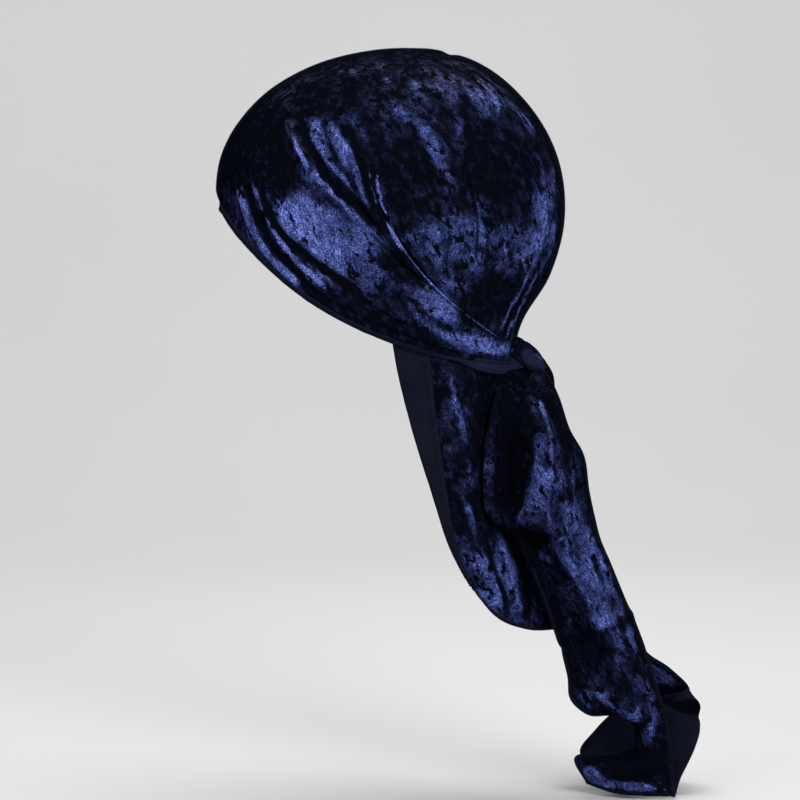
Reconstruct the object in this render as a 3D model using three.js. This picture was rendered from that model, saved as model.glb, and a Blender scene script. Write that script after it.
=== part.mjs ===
// A velvet durag as it sits on a head, tied at the nape.
// Millimetres, +Z up. The wearer faces -X and the wearer's left is -Y.
// The origin is inside the crown, where the top of the head touches the cloth.
import * as THREE from 'three';

// Driving dimensions
const CLOTH = 1.4; // velvet wall
const CLEAR = 0.35; // air between neighbouring pieces
const SEAM_RISE = 4.2; // height of the standing seam
const SEAM_THICK = 2.4;
const SEAM_END = 7; // degrees short of the knot
const SERGE_WIDTH = 3.2; // serged hem along the front
const SERGE_THICK = 2.2;
const HALF_WIDTH = 80; // of the cap, at the temples
const FULLNESS = 2.3; // 2 is an ellipsoid, more is squarer
const KNOT = { center: [86, 0, -199.5], radii: [17, 14, 14.5] };
const NAPE_DEPTH = 11; // half the distance between the two ties where they meet the knot
const NAPE_SPREAD = 1.2; // how soon the ties part from the mid-plane
const TURNED_GAP = 2.4; // between the neck flap and its turned edge, wall to wall centres
const TURNED_SHARES = [1, 0.5, 0.12]; // of its width at which the turned edge has its lines
const TURNED_BEND = 1; // how far the bend itself stands proud of the edge
const SIDE_CLEAR = CLEAR / 2; // from a left-hand piece to the mid-plane
const WRAP_COUNT = 3; // turns of cloth that show on the knot
const WRAP_DEPTH = 0.07; // of their grooves, as a share of the knot's radius
const WRAP_SLANT = 2.2; // radians round the knot for each radian up it

// Side view of the head: its outline is given by its reach from the widest point,
// by the angle from straight back, through the crown at 90.
const HEAD = { x: -7, z: -104.5 };
const OUTLINE = [
  { angle: -180, reach: 112 },
  { angle: -160, reach: 116 },
  { angle: -140, reach: 126 },
  { angle: -120, reach: 140 },
  { angle: -100, reach: 151 },
  { angle: -80, reach: 154 },
  { angle: -60, reach: 138 },
  { angle: -40, reach: 110.5 },
  { angle: -20, reach: 110.5 },
  { angle: 0, reach: 113 },
  { angle: 20, reach: 114.5 },
  { angle: 40, reach: 114 },
  { angle: 60, reach: 113 },
  { angle: 80, reach: 108 },
  { angle: 100, reach: 105.7 },
  { angle: 120, reach: 108 },
  { angle: 140, reach: 112.5 },
  { angle: 160, reach: 115 },
];

// Each fold of a side panel runs from the knot to the centre seam. rise: where it starts
// on the knot, 0 low, 1 high. leave and arrive: its direction at the knot and at the seam.
// seam: the angle at which it meets the seam. lift: its height. fades: how far it runs.
const FOLDS = [
  { name: 'hem', rise: 0, leave: 172, arrive: 125, seam: 176.6, lift: 0, fades: 1 },
  { name: 'hem roll', rise: 0.04, leave: 171, arrive: 121, seam: 172, lift: 0.4, fades: 1 },
  { name: 'cheek hollow', rise: 0.08, leave: 169, arrive: 115, seam: 166, lift: -1.2, fades: 0.9 },
  { name: 'cheek fold', rise: 0.12, leave: 167, arrive: 108, seam: 160, lift: 1.6, fades: 0.9 },
  { name: 'temple hollow', rise: 0.2, leave: 165, arrive: 106, seam: 155, lift: -1.2, fades: 0.9 },
  { name: 'temple fold', rise: 0.3, leave: 162, arrive: 105, seam: 150, lift: 1.8, fades: 0.9 },
  { name: 'brow hollow', rise: 0.42, leave: 155, arrive: 103, seam: 141, lift: -1.6, fades: 0.9 },
  { name: 'main ridge', rise: 0.56, leave: 141, arrive: 100, seam: 131, lift: 4, fades: 0.92 },
  { name: 'main groove', rise: 0.64, leave: 140, arrive: 99, seam: 127, lift: -2, fades: 0.9 },
  { name: 'second ridge', rise: 0.72, leave: 140, arrive: 98, seam: 122, lift: 2.6, fades: 0.85 },
  { name: 'second groove', rise: 0.78, leave: 143, arrive: 97, seam: 118.5, lift: -1.4, fades: 0.8 },
  { name: 'third ridge', rise: 0.84, leave: 147, arrive: 96, seam: 115, lift: 2.4, fades: 0.8 },
  { name: 'third groove', rise: 0.89, leave: 149, arrive: 94, seam: 110.5, lift: 0.4, fades: 0.75 },
  { name: 'band edge', rise: 0.94, leave: 150, arrive: 91, seam: 106, lift: 4.2, fades: 0.68 },
  { name: 'band foot', rise: 0.96, leave: 149, arrive: 91, seam: 105.2, lift: -0.6, fades: 0.68 },
  { name: 'crown', rise: 1, leave: 136, arrive: 110, seam: 95, lift: 0, fades: 1 },
  { name: 'crown fold', rise: 1, leave: 124, arrive: 118, seam: 82, lift: 1.4, fades: 0.8 },
  { name: 'crown hollow', rise: 1, leave: 114, arrive: 104, seam: 68, lift: -0.8, fades: 0.9 },
  { name: 'back fold', rise: 1, leave: 106, arrive: 88, seam: 50, lift: 1.2, fades: 0.9 },
  { name: 'back', rise: 1, leave: 97, arrive: 74, seam: 30, lift: -0.6, fades: 0.9 },
  { name: 'low back', rise: 1, leave: 90, arrive: 62, seam: 8, lift: 0.8, fades: 0.9 },
  { name: 'nape hollow', rise: 1, leave: 88, arrive: 52, seam: -14, lift: -0.8, fades: 0.8 },
  { name: 'nape fold', rise: 1, leave: 98, arrive: 50, seam: -30, lift: 0.4, fades: 0.7 },
  { name: 'nape', rise: 1, leave: 122, arrive: 122, seam: -44, lift: 0, fades: 1 },
];
const FOLD_START = { low: [84, -205], high: [79, -191] }; // x and z inside the knot
const LEAVE_PULL = 0.36; // how far a fold keeps its first direction, as a share of its span
const ARRIVE_PULL = 0.38; // and its last one
const LIFT_SPAN = { grow: 0.25, fade: 0.35 }; // runs over which a fold rises and dies away
const WIDE_FOLDS = 4; // degrees of seam past which a gap between folds is split in two

// Steps of the meshes
const PANEL_STEPS = 20; // along a fold
const SEAM_STEPS = 46; // along the centre seam
const FLAP_STEPS = { down: 2, across: 4 }; // in each span of the neck flap's table
const TAIL_STEPS = { down: 1, across: 3 }; // in each span of a tail's table
const KNOT_STEPS = { around: 22, up: 12 };
const KNOT_RUN_STEP = 0.005; // with which the knot's edge is looked for along a fold
const SLOPE_STEP = { run: 0.004, fold: 0.1 }; // over which the cap's slope is measured

// Half of the neck flap, a row for each level. edge: its front edge, belly: the fullest
// part, hollow: where it turns in behind the neck, back: the centre. turned: how much of
// the edge is turned outward.
const FLAP_LEVELS = [
  {
    turned: 22, edge: [-4, -64, -184], belly: [32, -55, -190],
    hollow: [57, -34, -198], back: [62, -0.4, -199],
  },
  {
    turned: 20, edge: [0, -62.5, -207], belly: [42, -53, -209],
    hollow: [64, -26, -216], back: [78, -0.4, -222],
  },
  {
    turned: 15, edge: [10, -60.5, -247], belly: [46, -50, -249],
    hollow: [63, -21, -251], back: [88, -0.4, -252],
  },
  {
    turned: 9, edge: [21, -58, -283], belly: [46, -48, -286],
    hollow: [64, -20, -288], back: [94, -0.4, -288],
  },
  {
    turned: 4, edge: [32, -53, -318], belly: [58, -44, -322],
    hollow: [76, -18, -324], back: [100, -0.4, -324],
  },
  {
    turned: 2.5, edge: [40, -49, -336], belly: [64, -40, -350],
    hollow: [84, -18, -354], back: [106, -0.4, -354],
  },
  {
    turned: 2, edge: [46, -46, -348], belly: [65, -35, -371],
    hollow: [87, -20, -381], back: [110, -0.4, -383],
  },
];

// The near tail, a row for each level. left and right are its hems.
const NEAR_TAIL = [
  { left: [70, -28, -228], valley: [78, -19, -227], ridge: [92, -27, -226], right: [106, -7, -226] },
  { left: [61, -38, -246], valley: [72, -24, -246], ridge: [97, -40, -247], right: [113, -10, -247] },
  { left: [58, -41, -266], valley: [71, -24, -266], ridge: [98, -47, -265], right: [122.5, -14, -265] },
  { left: [57.5, -42, -288], valley: [71, -25, -290], ridge: [95, -49, -290], right: [126, -16, -288] },
  { left: [63, -43, -303], valley: [75, -37, -306], ridge: [90, -49, -308], right: [130, -15, -306] },
  { left: [76, -33, -312], valley: [88, -17, -316], ridge: [105, -36, -319], right: [134, -14, -321] },
  { left: [82, -35, -332], valley: [93, -16, -334], ridge: [114, -32, -335], right: [140.5, -12, -336] },
  { left: [95, -33, -357], valley: [106, -14, -358], ridge: [126, -29, -359], right: [150, -10, -359] },
  { left: [105, -28, -387], valley: [117, -12, -388], ridge: [138, -27, -389], right: [163, -8, -390] },
  { left: [112, -26, -411], valley: [125, -13, -412], ridge: [148, -25, -414], right: [171, -8, -415] },
  { left: [114, -24, -427], valley: [127, -16, -428], ridge: [152, -24, -430], right: [176.4, -8, -431] },
  { left: [126, -14, -439], valley: [138, -14, -438], ridge: [157, -20, -440], right: [179, -8, -441] },
  { left: [146, 3, -442], valley: [154, -2, -443], ridge: [166, -14, -447], right: [181, -8, -449] },
  { left: [159, 13, -452], valley: [163, 4, -453], ridge: [171, -10, -455], right: [182, -8, -457] },
  { left: [160, 13, -464], valley: [164, 3, -465], ridge: [172, -9, -465], right: [183, -8, -466] },
  { left: [146, 8, -470], valley: [153, -4, -473], ridge: [167, -10, -475], right: [184, -7, -475] },
  { left: [121, 0, -471], valley: [134, -5, -480], ridge: [160, -6, -485], right: [185, -6, -484] },
  { left: [131, 8, -491], valley: [145, -4, -494], ridge: [165, -8, -496], right: [186, -4, -497] },
];

// The far tail, a row for each level.
const FAR_TAIL = [
  { left: [104, 4, -232], middle: [106, 16, -231], right: [96, 26, -230] },
  { left: [112, 3, -262], middle: [113, 20, -262], right: [97, 34, -262] },
  { left: [124, 3, -302], middle: [124, 22, -302], right: [101, 40, -302] },
  { left: [139, 4, -346], middle: [136, 26, -348], right: [110, 46, -350] },
  { left: [155, 8, -380], middle: [148, 32, -386], right: [122, 52, -392] },
  { left: [168, 16, -402], middle: [158, 40, -413], right: [134, 60, -424] },
  { left: [184, 24, -414], middle: [174, 46, -430], right: [152, 64, -444] },
  { left: [197, 26, -427], middle: [198, 40, -438], right: [188, 54, -452] },
  { left: [192, 14, -429], middle: [203, 28, -438], right: [204, 40, -452] },
  { left: [172, 17, -434], middle: [190, 18, -444], right: [205, 22, -457] },
  { left: [148, 30, -445], middle: [178, 20, -456], right: [201, 12, -467] },
  { left: [133, 32, -460], middle: [165, 21, -471], right: [196, 9, -477] },
  { left: [123, 32, -474], middle: [156, 21, -483], right: [191, 8, -487] },
  { left: [121, 33, -490], middle: [154, 22, -495], right: [188, 9, -497.5] },
];

const UP = new THREE.Vector3(0, 0, 1);
const radians = THREE.MathUtils.degToRad;
const smooth = THREE.MathUtils.smoothstep;
const last = (list) => list[list.length - 1];

// ---------------------------------------------------------------- cloth as a wall

// Closed wall of the given thickness about a grid of points, rows by columns.
// A wall on the wearer's left keeps to its side of the mid-plane.
function clothWall(grid, thickness, onLeft = false) {
  const rows = grid.length;
  const columns = grid[0].length;
  const at = (i, j) => {
    const row = THREE.MathUtils.clamp(i, 0, rows - 1);
    const column = THREE.MathUtils.clamp(j, 0, columns - 1);
    return grid[row][column];
  };
  const positions = [];
  for (const side of [0.5, -0.5]) {
    for (let i = 0; i < rows; i += 1) {
      for (let j = 0; j < columns; j += 1) {
        const down = at(i + 1, j).clone().sub(at(i - 1, j));
        const across = at(i, j + 1).clone().sub(at(i, j - 1));
        const normal = down.cross(across).normalize();
        const place = normal.multiplyScalar(side * thickness).add(at(i, j));
        if (onLeft) place.y = Math.min(place.y, -SIDE_CLEAR);
        positions.push(...place.toArray());
      }
    }
  }
  const layer = rows * columns;
  const index = [];
  const quad = (a, b, c, d) => index.push(a, b, c, a, c, d);
  for (let i = 0; i < rows - 1; i += 1) {
    for (let j = 0; j < columns - 1; j += 1) {
      const a = i * columns + j;
      quad(a, a + columns, a + columns + 1, a + 1);
      quad(layer + a, layer + a + 1, layer + a + columns + 1, layer + a + columns);
    }
  }
  const rim = [];
  for (let j = 0; j < columns; j += 1) rim.push(j);
  for (let i = 1; i < rows; i += 1) rim.push(i * columns + columns - 1);
  for (let j = columns - 2; j >= 0; j -= 1) rim.push((rows - 1) * columns + j);
  for (let i = rows - 2; i > 0; i -= 1) rim.push(i * columns);
  rim.forEach((a, k) => {
    const b = rim[(k + 1) % rim.length];
    quad(a, b, layer + b, layer + a);
  });
  return facingOut(positions, index);
}

// Geometry from positions and an index, turned so that its faces point out.
function facingOut(positions, index) {
  const point = (k) => new THREE.Vector3().fromArray(positions, index[k] * 3);
  let volume = 0;
  for (let k = 0; k < index.length; k += 3) {
    volume += point(k).dot(point(k + 1).cross(point(k + 2)));
  }
  const geometry = new THREE.BufferGeometry();
  geometry.setAttribute('position', new THREE.Float32BufferAttribute(positions, 3));
  geometry.setIndex(volume < 0 ? [...index].reverse() : index);
  geometry.computeVertexNormals();
  return geometry;
}

// Smooth curve through the points, with the same number of steps in each span.
function through(points, stepsPerSpan) {
  const curve = new THREE.CatmullRomCurve3(points);
  return curve.getPoints((points.length - 1) * stepsPerSpan);
}

// Grid through a table of levels: each column name is a line down the cloth.
function levelGrid(levels, names, steps) {
  const lines = names.map((name) => {
    const points = levels.map((level) => new THREE.Vector3(...level[name]));
    return through(points, steps.down);
  });
  return lines[0].map((_, i) => through(lines.map((line) => line[i]), steps.across));
}

// The same wall on the wearer's right.
function mirrored(geometry) {
  const positions = Array.from(geometry.getAttribute('position').array);
  for (let k = 1; k < positions.length; k += 3) positions[k] *= -1;
  return facingOut(positions, Array.from(geometry.getIndex().array));
}

// ---------------------------------------------------------------- head and cap

// Value of a named column at a place between two rows, on a smooth curve.
function between(rows, column, place) {
  const k = Math.min(Math.floor(place), rows.length - 2);
  const values = [-1, 0, 1, 2].map((step) => {
    const row = THREE.MathUtils.clamp(k + step, 0, rows.length - 1);
    return rows[row][column];
  });
  return catmullRom(values, place - k);
}

function catmullRom([a, b, c, d], t) {
  const slope = (c - a) * t;
  const bend = (2 * a - 5 * b + 4 * c - d) * t * t;
  return b + 0.5 * (slope + bend + (3 * b - a - 3 * c + d) * t * t * t);
}

function outlineReach(angle) {
  const spacing = 360 / OUTLINE.length;
  const place = THREE.MathUtils.euclideanModulo(angle - OUTLINE[0].angle, 360) / spacing;
  const k = Math.floor(place);
  const values = [-1, 0, 1, 2].map((step) => {
    const row = (k + step + OUTLINE.length) % OUTLINE.length;
    return OUTLINE[row].reach;
  });
  return catmullRom(values, place - k);
}

// Half width of the head at a place in the side view.
function headHalfWidth(x, z) {
  const dx = x - HEAD.x;
  const dz = z - HEAD.z;
  const share = Math.hypot(dx, dz) / outlineReach(THREE.MathUtils.radToDeg(Math.atan2(dz, dx)));
  return HALF_WIDTH * Math.sqrt(Math.max(0, 1 - share ** FULLNESS));
}

const seamPoint = (angle, out = 0) => new THREE.Vector3(
  HEAD.x + (outlineReach(angle) + out) * Math.cos(radians(angle)),
  0,
  HEAD.z + (outlineReach(angle) + out) * Math.sin(radians(angle)),
);

const inSideView = (angle) => new THREE.Vector3(Math.cos(angle), 0, Math.sin(angle));

// Point on the smooth left side of the cap. fold: place in FOLDS. run: 0 knot, 1 seam.
function capPoint(fold, run) {
  const rise = between(FOLDS, 'rise', fold);
  const leave = radians(between(FOLDS, 'leave', fold));
  const arrive = radians(between(FOLDS, 'arrive', fold));
  const start = new THREE.Vector3(
    THREE.MathUtils.lerp(FOLD_START.low[0], FOLD_START.high[0], rise),
    0,
    THREE.MathUtils.lerp(FOLD_START.low[1], FOLD_START.high[1], rise),
  );
  const end = seamPoint(between(FOLDS, 'seam', fold));
  const span = start.distanceTo(end);
  const afterStart = start.clone().addScaledVector(inSideView(leave), LEAVE_PULL * span);
  const beforeEnd = end.clone().addScaledVector(inSideView(arrive), -ARRIVE_PULL * span);
  const point = new THREE.CubicBezierCurve3(start, afterStart, beforeEnd, end).getPoint(run);
  point.y = -Math.hypot(headHalfWidth(point.x, point.z), NAPE_DEPTH * (1 - run) ** NAPE_SPREAD);
  return point;
}

// How far inside the knot's ellipsoid a point is, grown by the cloth: under 1 is inside.
function knotShare(point) {
  const grow = CLOTH / 2 + CLEAR;
  const parts = point.toArray().map((value, k) => (value - KNOT.center[k]) / (KNOT.radii[k] + grow));
  return Math.hypot(...parts);
}

// Run at which a fold comes out of the knot.
function leavesKnot(fold) {
  let run = 0;
  while (knotShare(capPoint(fold, run)) < 1) run += KNOT_RUN_STEP;
  return run;
}

// Steps are close together at the knot, where the cloth is gathered, and at the seam.
const runAt = (step, steps) => Math.sin((Math.PI / 2) * (step / steps)) ** 1.3;

// Point on the folded side of the cap. share: 0 where the cloth leaves the knot, 1 at the seam.
function foldedPoint(fold, share) {
  const start = leavesKnot(fold);
  const run = THREE.MathUtils.lerp(start, 1, share);
  const point = capPoint(fold, run);
  const fades = between(FOLDS, 'fades', fold);
  const grown = smooth(run, 0, LIFT_SPAN.grow);
  const faded = smooth(run, fades - LIFT_SPAN.fade, fades);
  const lift = between(FOLDS, 'lift', fold) * grown * (1 - faded);
  const here = Math.min(run, 1 - SLOPE_STEP.run);
  const along = capPoint(fold, here + SLOPE_STEP.run).sub(capPoint(fold, here));
  const nextFold = Math.min(fold + SLOPE_STEP.fold, FOLDS.length - 1);
  const foldBefore = Math.max(fold - SLOPE_STEP.fold, 0);
  const sideways = capPoint(nextFold, here).sub(capPoint(foldBefore, here));
  const outward = along.cross(sideways).normalize();
  if (outward.y > 0) outward.negate();
  point.addScaledVector(outward, lift);
  return point;
}

// Places of the panel's lines: one on each fold, and one between folds that are far apart.
function foldPlaces() {
  const places = [];
  for (let k = 0; k < FOLDS.length - 1; k += 1) {
    places.push(k);
    if (FOLDS[k].seam - FOLDS[k + 1].seam > WIDE_FOLDS) places.push(k + 0.5);
  }
  places.push(FOLDS.length - 1);
  return places;
}

function panelGrid() {
  return foldPlaces().map((fold) => {
    const line = [];
    for (let step = 0; step <= PANEL_STEPS; step += 1) {
      line.push(foldedPoint(fold, runAt(step, PANEL_STEPS)));
    }
    last(line).y = -SIDE_CLEAR;
    return line;
  });
}

// Serged hem: a flat band just beyond the panel's lowest line.
function frontHemGrid() {
  const [edge, above] = panelGrid();
  return edge.map((point, i) => {
    const after = edge[Math.min(i + 1, edge.length - 1)];
    const before = edge[Math.max(i - 1, 0)];
    const along = after.clone().sub(before).normalize();
    const beyond = point.clone().sub(above[i]);
    beyond.addScaledVector(along, -beyond.dot(along)).normalize();
    return [CLEAR, CLEAR + SERGE_WIDTH].map((distance) => {
      const spot = point.clone().addScaledVector(beyond, distance);
      spot.y = Math.min(spot.y, -SIDE_CLEAR);
      return spot;
    });
  });
}

// Standing seam along a line of points in the mid-plane, with its outward direction.
function standingSeam(line, outward) {
  const foot = CLOTH / 2 + CLEAR;
  return line.map((point, i) => [
    point.clone().addScaledVector(outward[i], foot),
    point.clone().addScaledVector(outward[i], foot + SEAM_RISE),
  ]);
}

function centreSeamGrid() {
  const first = FOLDS[0].seam;
  const end = last(FOLDS).seam + SEAM_END;
  const line = [];
  const outward = [];
  for (let step = 0; step <= SEAM_STEPS; step += 1) {
    const angle = THREE.MathUtils.lerp(first, end, step / SEAM_STEPS);
    line.push(seamPoint(angle));
    outward.push(seamPoint(angle, 1).sub(seamPoint(angle)));
  }
  return standingSeam(line, outward);
}

// ---------------------------------------------------------------- knot, flap and tails

// Wound cloth: an ellipsoid with wraps that run round it on a slant.
function knotGeometry() {
  const { around, up } = KNOT_STEPS;
  const positions = [];
  const index = [];
  const place = (turn, height) => {
    const groove = 0.5 + 0.5 * Math.cos(WRAP_COUNT * (turn + WRAP_SLANT * height));
    const wrap = 1 - WRAP_DEPTH * groove * Math.cos(height) ** 2;
    const direction = [
      Math.cos(height) * Math.cos(turn),
      Math.cos(height) * Math.sin(turn),
      Math.sin(height),
    ];
    positions.push(...direction.map((value, k) => KNOT.center[k] + KNOT.radii[k] * wrap * value));
  };
  place(0, -Math.PI / 2);
  for (let level = 1; level < up; level += 1) {
    for (let k = 0; k < around; k += 1) {
      place((2 * Math.PI * k) / around, Math.PI * (level / up - 0.5));
    }
  }
  place(0, Math.PI / 2);
  const top = 1 + (up - 1) * around;
  for (let k = 0; k < around; k += 1) {
    const next = (k + 1) % around;
    index.push(0, 1 + next, 1 + k);
    for (let level = 0; level < up - 2; level += 1) {
      const low = 1 + level * around;
      index.push(low + k, low + next, low + around + next);
      index.push(low + k, low + around + next, low + around + k);
    }
    index.push(top, top - around + k, top - around + next);
  }
  return facingOut(positions, index);
}

// Point just outside the knot, in a direction from its centre.
function besideKnot(x, y, z) {
  const direction = new THREE.Vector3(x, y, z).normalize();
  const grow = CLOTH / 2 + CLEAR;
  return direction.toArray().map((value, k) => KNOT.center[k] + value * (KNOT.radii[k] + grow));
}

// Half of the neck flap, with or without its front edge turned outward.
function flapGrid(turned) {
  const grid = levelGrid(FLAP_LEVELS, ['edge', 'belly', 'hollow', 'back'], FLAP_STEPS);
  for (const row of grid) last(row).y = -CLEAR;
  if (!turned) return grid;
  return grid.map((row, i) => {
    const width = between(FLAP_LEVELS, 'turned', i / FLAP_STEPS.down);
    const inward = row[1].clone().sub(row[0]);
    const outward = inward.clone().cross(UP).normalize();
    const spacing = inward.length();
    const strip = TURNED_SHARES.map((share) => {
      const under = sampleRow(row, (width * share) / spacing);
      return under.addScaledVector(outward, TURNED_GAP);
    });
    const bend = row[0].clone().addScaledVector(outward, TURNED_GAP / 2);
    bend.addScaledVector(inward, -TURNED_BEND / spacing);
    return [...strip, bend, ...row];
  });
}

// Point on a row at a distance given in steps of its points.
function sampleRow(row, place) {
  const k = Math.min(Math.floor(place), row.length - 2);
  return row[k].clone().lerp(row[k + 1], place - k);
}

// The flap's seam starts just below the knot.
function flapSeamGrid() {
  const under = KNOT.center[2] - KNOT.radii[2] - SEAM_RISE;
  const centre = flapGrid(false).map((row) => new THREE.Vector3(last(row).x, 0, last(row).z));
  const back = centre.filter((point) => point.z < under);
  const outward = back.map((_, i) => {
    const below = back[Math.min(i + 1, back.length - 1)];
    const above = back[Math.max(i - 1, 0)];
    const down = below.clone().sub(above);
    return new THREE.Vector3(-down.z, 0, down.x).normalize();
  });
  return standingSeam(back, outward);
}

// The ties come out of the knot's underside, each in its own directions from its middle.
function nearTailGrid() {
  const top = {
    left: besideKnot(-0.6, -0.55, -0.6),
    valley: besideKnot(0.1, -0.6, -0.8),
    ridge: besideKnot(0.45, -0.65, -0.6),
    right: besideKnot(0.85, -0.25, -0.45),
  };
  return levelGrid([top, ...NEAR_TAIL], ['left', 'valley', 'ridge', 'right'], TAIL_STEPS);
}

function farTailGrid() {
  const top = {
    left: besideKnot(0.85, 0.1, -0.5),
    middle: besideKnot(0.6, 0.55, -0.55),
    right: besideKnot(0.1, 0.75, -0.6),
  };
  return levelGrid([top, ...FAR_TAIL], ['left', 'middle', 'right'], TAIL_STEPS);
}

// ---------------------------------------------------------------- materials and assembly

const velvet = { color: 0x1c2262, roughness: 0.6, metalness: 0 };
const thread = { color: 0x0d1022, roughness: 0.8, metalness: 0 };

const durag = new THREE.Group();

function add(name, geometry, look) {
  const mesh = new THREE.Mesh(geometry, new THREE.MeshStandardMaterial(look));
  mesh.name = name;
  durag.add(mesh);
}

const panel = clothWall(panelGrid(), CLOTH, true);
const frontHem = clothWall(frontHemGrid(), SERGE_THICK, true);

add('side_panel_left', panel, velvet);
add('side_panel_right', mirrored(panel), velvet);
add('centre_seam', clothWall(centreSeamGrid(), SEAM_THICK), thread);
add('front_hem_left', frontHem, thread);
add('front_hem_right', mirrored(frontHem), thread);
add('knot', knotGeometry(), velvet);
add('cape_left', clothWall(flapGrid(true), CLOTH, true), velvet);
add('cape_right', mirrored(clothWall(flapGrid(false), CLOTH, true)), velvet);
add('cape_seam', clothWall(flapSeamGrid(), SEAM_THICK), thread);
add('tail_left', clothWall(nearTailGrid(), CLOTH), velvet);
add('tail_right', clothWall(farTailGrid(), CLOTH), velvet);

export default durag;
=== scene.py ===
# A crushed velvet durag, tied at the nape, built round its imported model.
# The wearer faces -X and the wearer's left is -Y. Tables of the cloth are in millimetres.
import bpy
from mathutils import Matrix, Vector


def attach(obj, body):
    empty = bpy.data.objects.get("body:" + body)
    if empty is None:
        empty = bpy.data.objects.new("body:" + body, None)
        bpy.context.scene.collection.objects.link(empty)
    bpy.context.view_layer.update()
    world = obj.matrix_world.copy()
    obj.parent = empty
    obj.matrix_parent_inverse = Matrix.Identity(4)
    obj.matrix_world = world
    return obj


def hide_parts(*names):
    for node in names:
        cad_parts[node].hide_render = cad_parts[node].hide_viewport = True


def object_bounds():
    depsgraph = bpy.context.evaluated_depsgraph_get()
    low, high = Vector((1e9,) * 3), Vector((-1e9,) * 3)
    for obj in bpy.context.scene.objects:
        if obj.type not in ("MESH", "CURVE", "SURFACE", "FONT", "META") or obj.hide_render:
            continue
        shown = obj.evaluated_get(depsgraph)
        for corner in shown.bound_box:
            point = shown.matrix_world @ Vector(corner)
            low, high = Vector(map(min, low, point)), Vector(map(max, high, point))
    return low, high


bl_info = {
    "name": "Velvet Durag",
    "version": (1, 0, 0),
    "blender": (4, 5, 0),
    "location": "3D View > Sidebar > Durag",
    "description": "Builds a crushed velvet durag with its seams, knot, neck flap and tails",
    "category": "Add Mesh",
}

import functools
import itertools
import math

import bmesh
import bpy
import numpy as np
from bpy.props import FloatProperty, FloatVectorProperty, PointerProperty

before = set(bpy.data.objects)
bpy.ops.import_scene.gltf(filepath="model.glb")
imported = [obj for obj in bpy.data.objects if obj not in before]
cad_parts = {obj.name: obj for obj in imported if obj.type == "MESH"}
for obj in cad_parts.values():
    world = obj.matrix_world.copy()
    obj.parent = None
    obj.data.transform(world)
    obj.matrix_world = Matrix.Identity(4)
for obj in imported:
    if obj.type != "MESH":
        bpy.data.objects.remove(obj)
CAD_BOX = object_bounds()
MM = 0.001


# ---------------------------------------------------------------- the cap's shape

MID_GAP = 0.2  # between the left half and the mid-plane
KNOT_CENTRE = np.array((84, 0, -201))
KNOT_RADII = np.array((19.5, 11.5, 11.5))  # along it, across the head, over it
KNOT_TILT = 40  # degrees down to the back
HEAD_CENTRE = np.array((-7, -104.5))  # x and z, where the cap is widest
HALF_WIDTH = 80
FULLNESS = 2.3  # 2 is an ellipsoid, more is squarer
NAPE_DEPTH = 11  # half the distance between the two ties at the knot
NAPE_SPREAD = 1.2

# Side view of the cap: how far its outline reaches, every 20 degrees from straight ahead, down
# and round by the nape, the back and the crown.
OUTLINE = np.array((
    112, 116, 126, 140, 151, 154, 138, 110.5, 110.5, 113, 114.5, 114, 113, 108, 105.7, 108, 112.5, 115,
))

# Each fold of a cap half runs from the knot to the centre seam. rise: where it starts on the
# knot. leave, arrive: its directions at both ends. seam: the angle at which it meets the seam.
# lift: its height. fades: how far along it dies away.
FOLDS = dict(zip(("rise", "leave", "arrive", "seam", "lift", "fades"), np.array((
    (0, 172, 125, 176.6, 0, 1),  # hem
    (0.04, 171, 121, 172, 0.4, 1),  # hem roll
    (0.08, 169, 115, 166, -1.2, 0.9),  # cheek hollow
    (0.12, 167, 108, 160, 1.6, 0.9),  # cheek fold
    (0.2, 165, 106, 155, -1.2, 0.9),  # temple hollow
    (0.3, 162, 105, 150, 1.8, 0.9),  # temple fold
    (0.42, 155, 103, 141, -1.6, 0.9),  # brow hollow
    (0.56, 141, 100, 131, 4, 0.92),  # main ridge
    (0.64, 140, 99, 127, -2, 0.9),  # main groove
    (0.72, 140, 98, 122, 2.6, 0.85),  # second ridge
    (0.78, 143, 97, 118.5, -1.4, 0.8),  # second groove
    (0.84, 147, 96, 115, 2.4, 0.8),  # third ridge
    (0.89, 149, 94, 110.5, 0.4, 0.75),  # third groove
    (0.94, 150, 91, 106, 0, 0.68),  # band edge
    (0.96, 149, 91, 105.2, 0, 0.68),  # band foot
    (1, 136, 110, 95, 0, 1),  # crown
    (1, 124, 118, 82, 1.4, 0.8),  # crown fold
    (1, 114, 104, 68, -0.8, 0.9),  # crown hollow
    (1, 106, 88, 50, 1.2, 0.9),  # back fold
    (1, 97, 74, 30, -0.6, 0.9),  # back
    (1, 90, 62, 8, 0.8, 0.9),  # low back
    (1, 88, 52, -14, -0.8, 0.8),  # nape hollow
    (1, 98, 50, -30, 0.4, 0.7),  # nape fold
    (1, 122, 122, -44, 0, 1),  # nape
)).T))
BAND_EDGE = 13  # row of the band's folded edge
BAND_FOOT = 14
FOLD_START_LOW = np.array((84, -205))  # x and z inside the knot
FOLD_START_HIGH = np.array((73, -190))
LEAVE_PULL = 0.36  # how firmly a fold keeps its directions, as a share of its span
ARRIVE_PULL = 0.38
CAP_LINES = 205  # over the cap, before the band's roll is put in
CAP_STEPS = 200  # along each line
WIDE_RUN = 0.62  # run at which the lines are evenly far apart
KNOT_COVER = 0.25  # share of their way out of the knot at which the lines start

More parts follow.
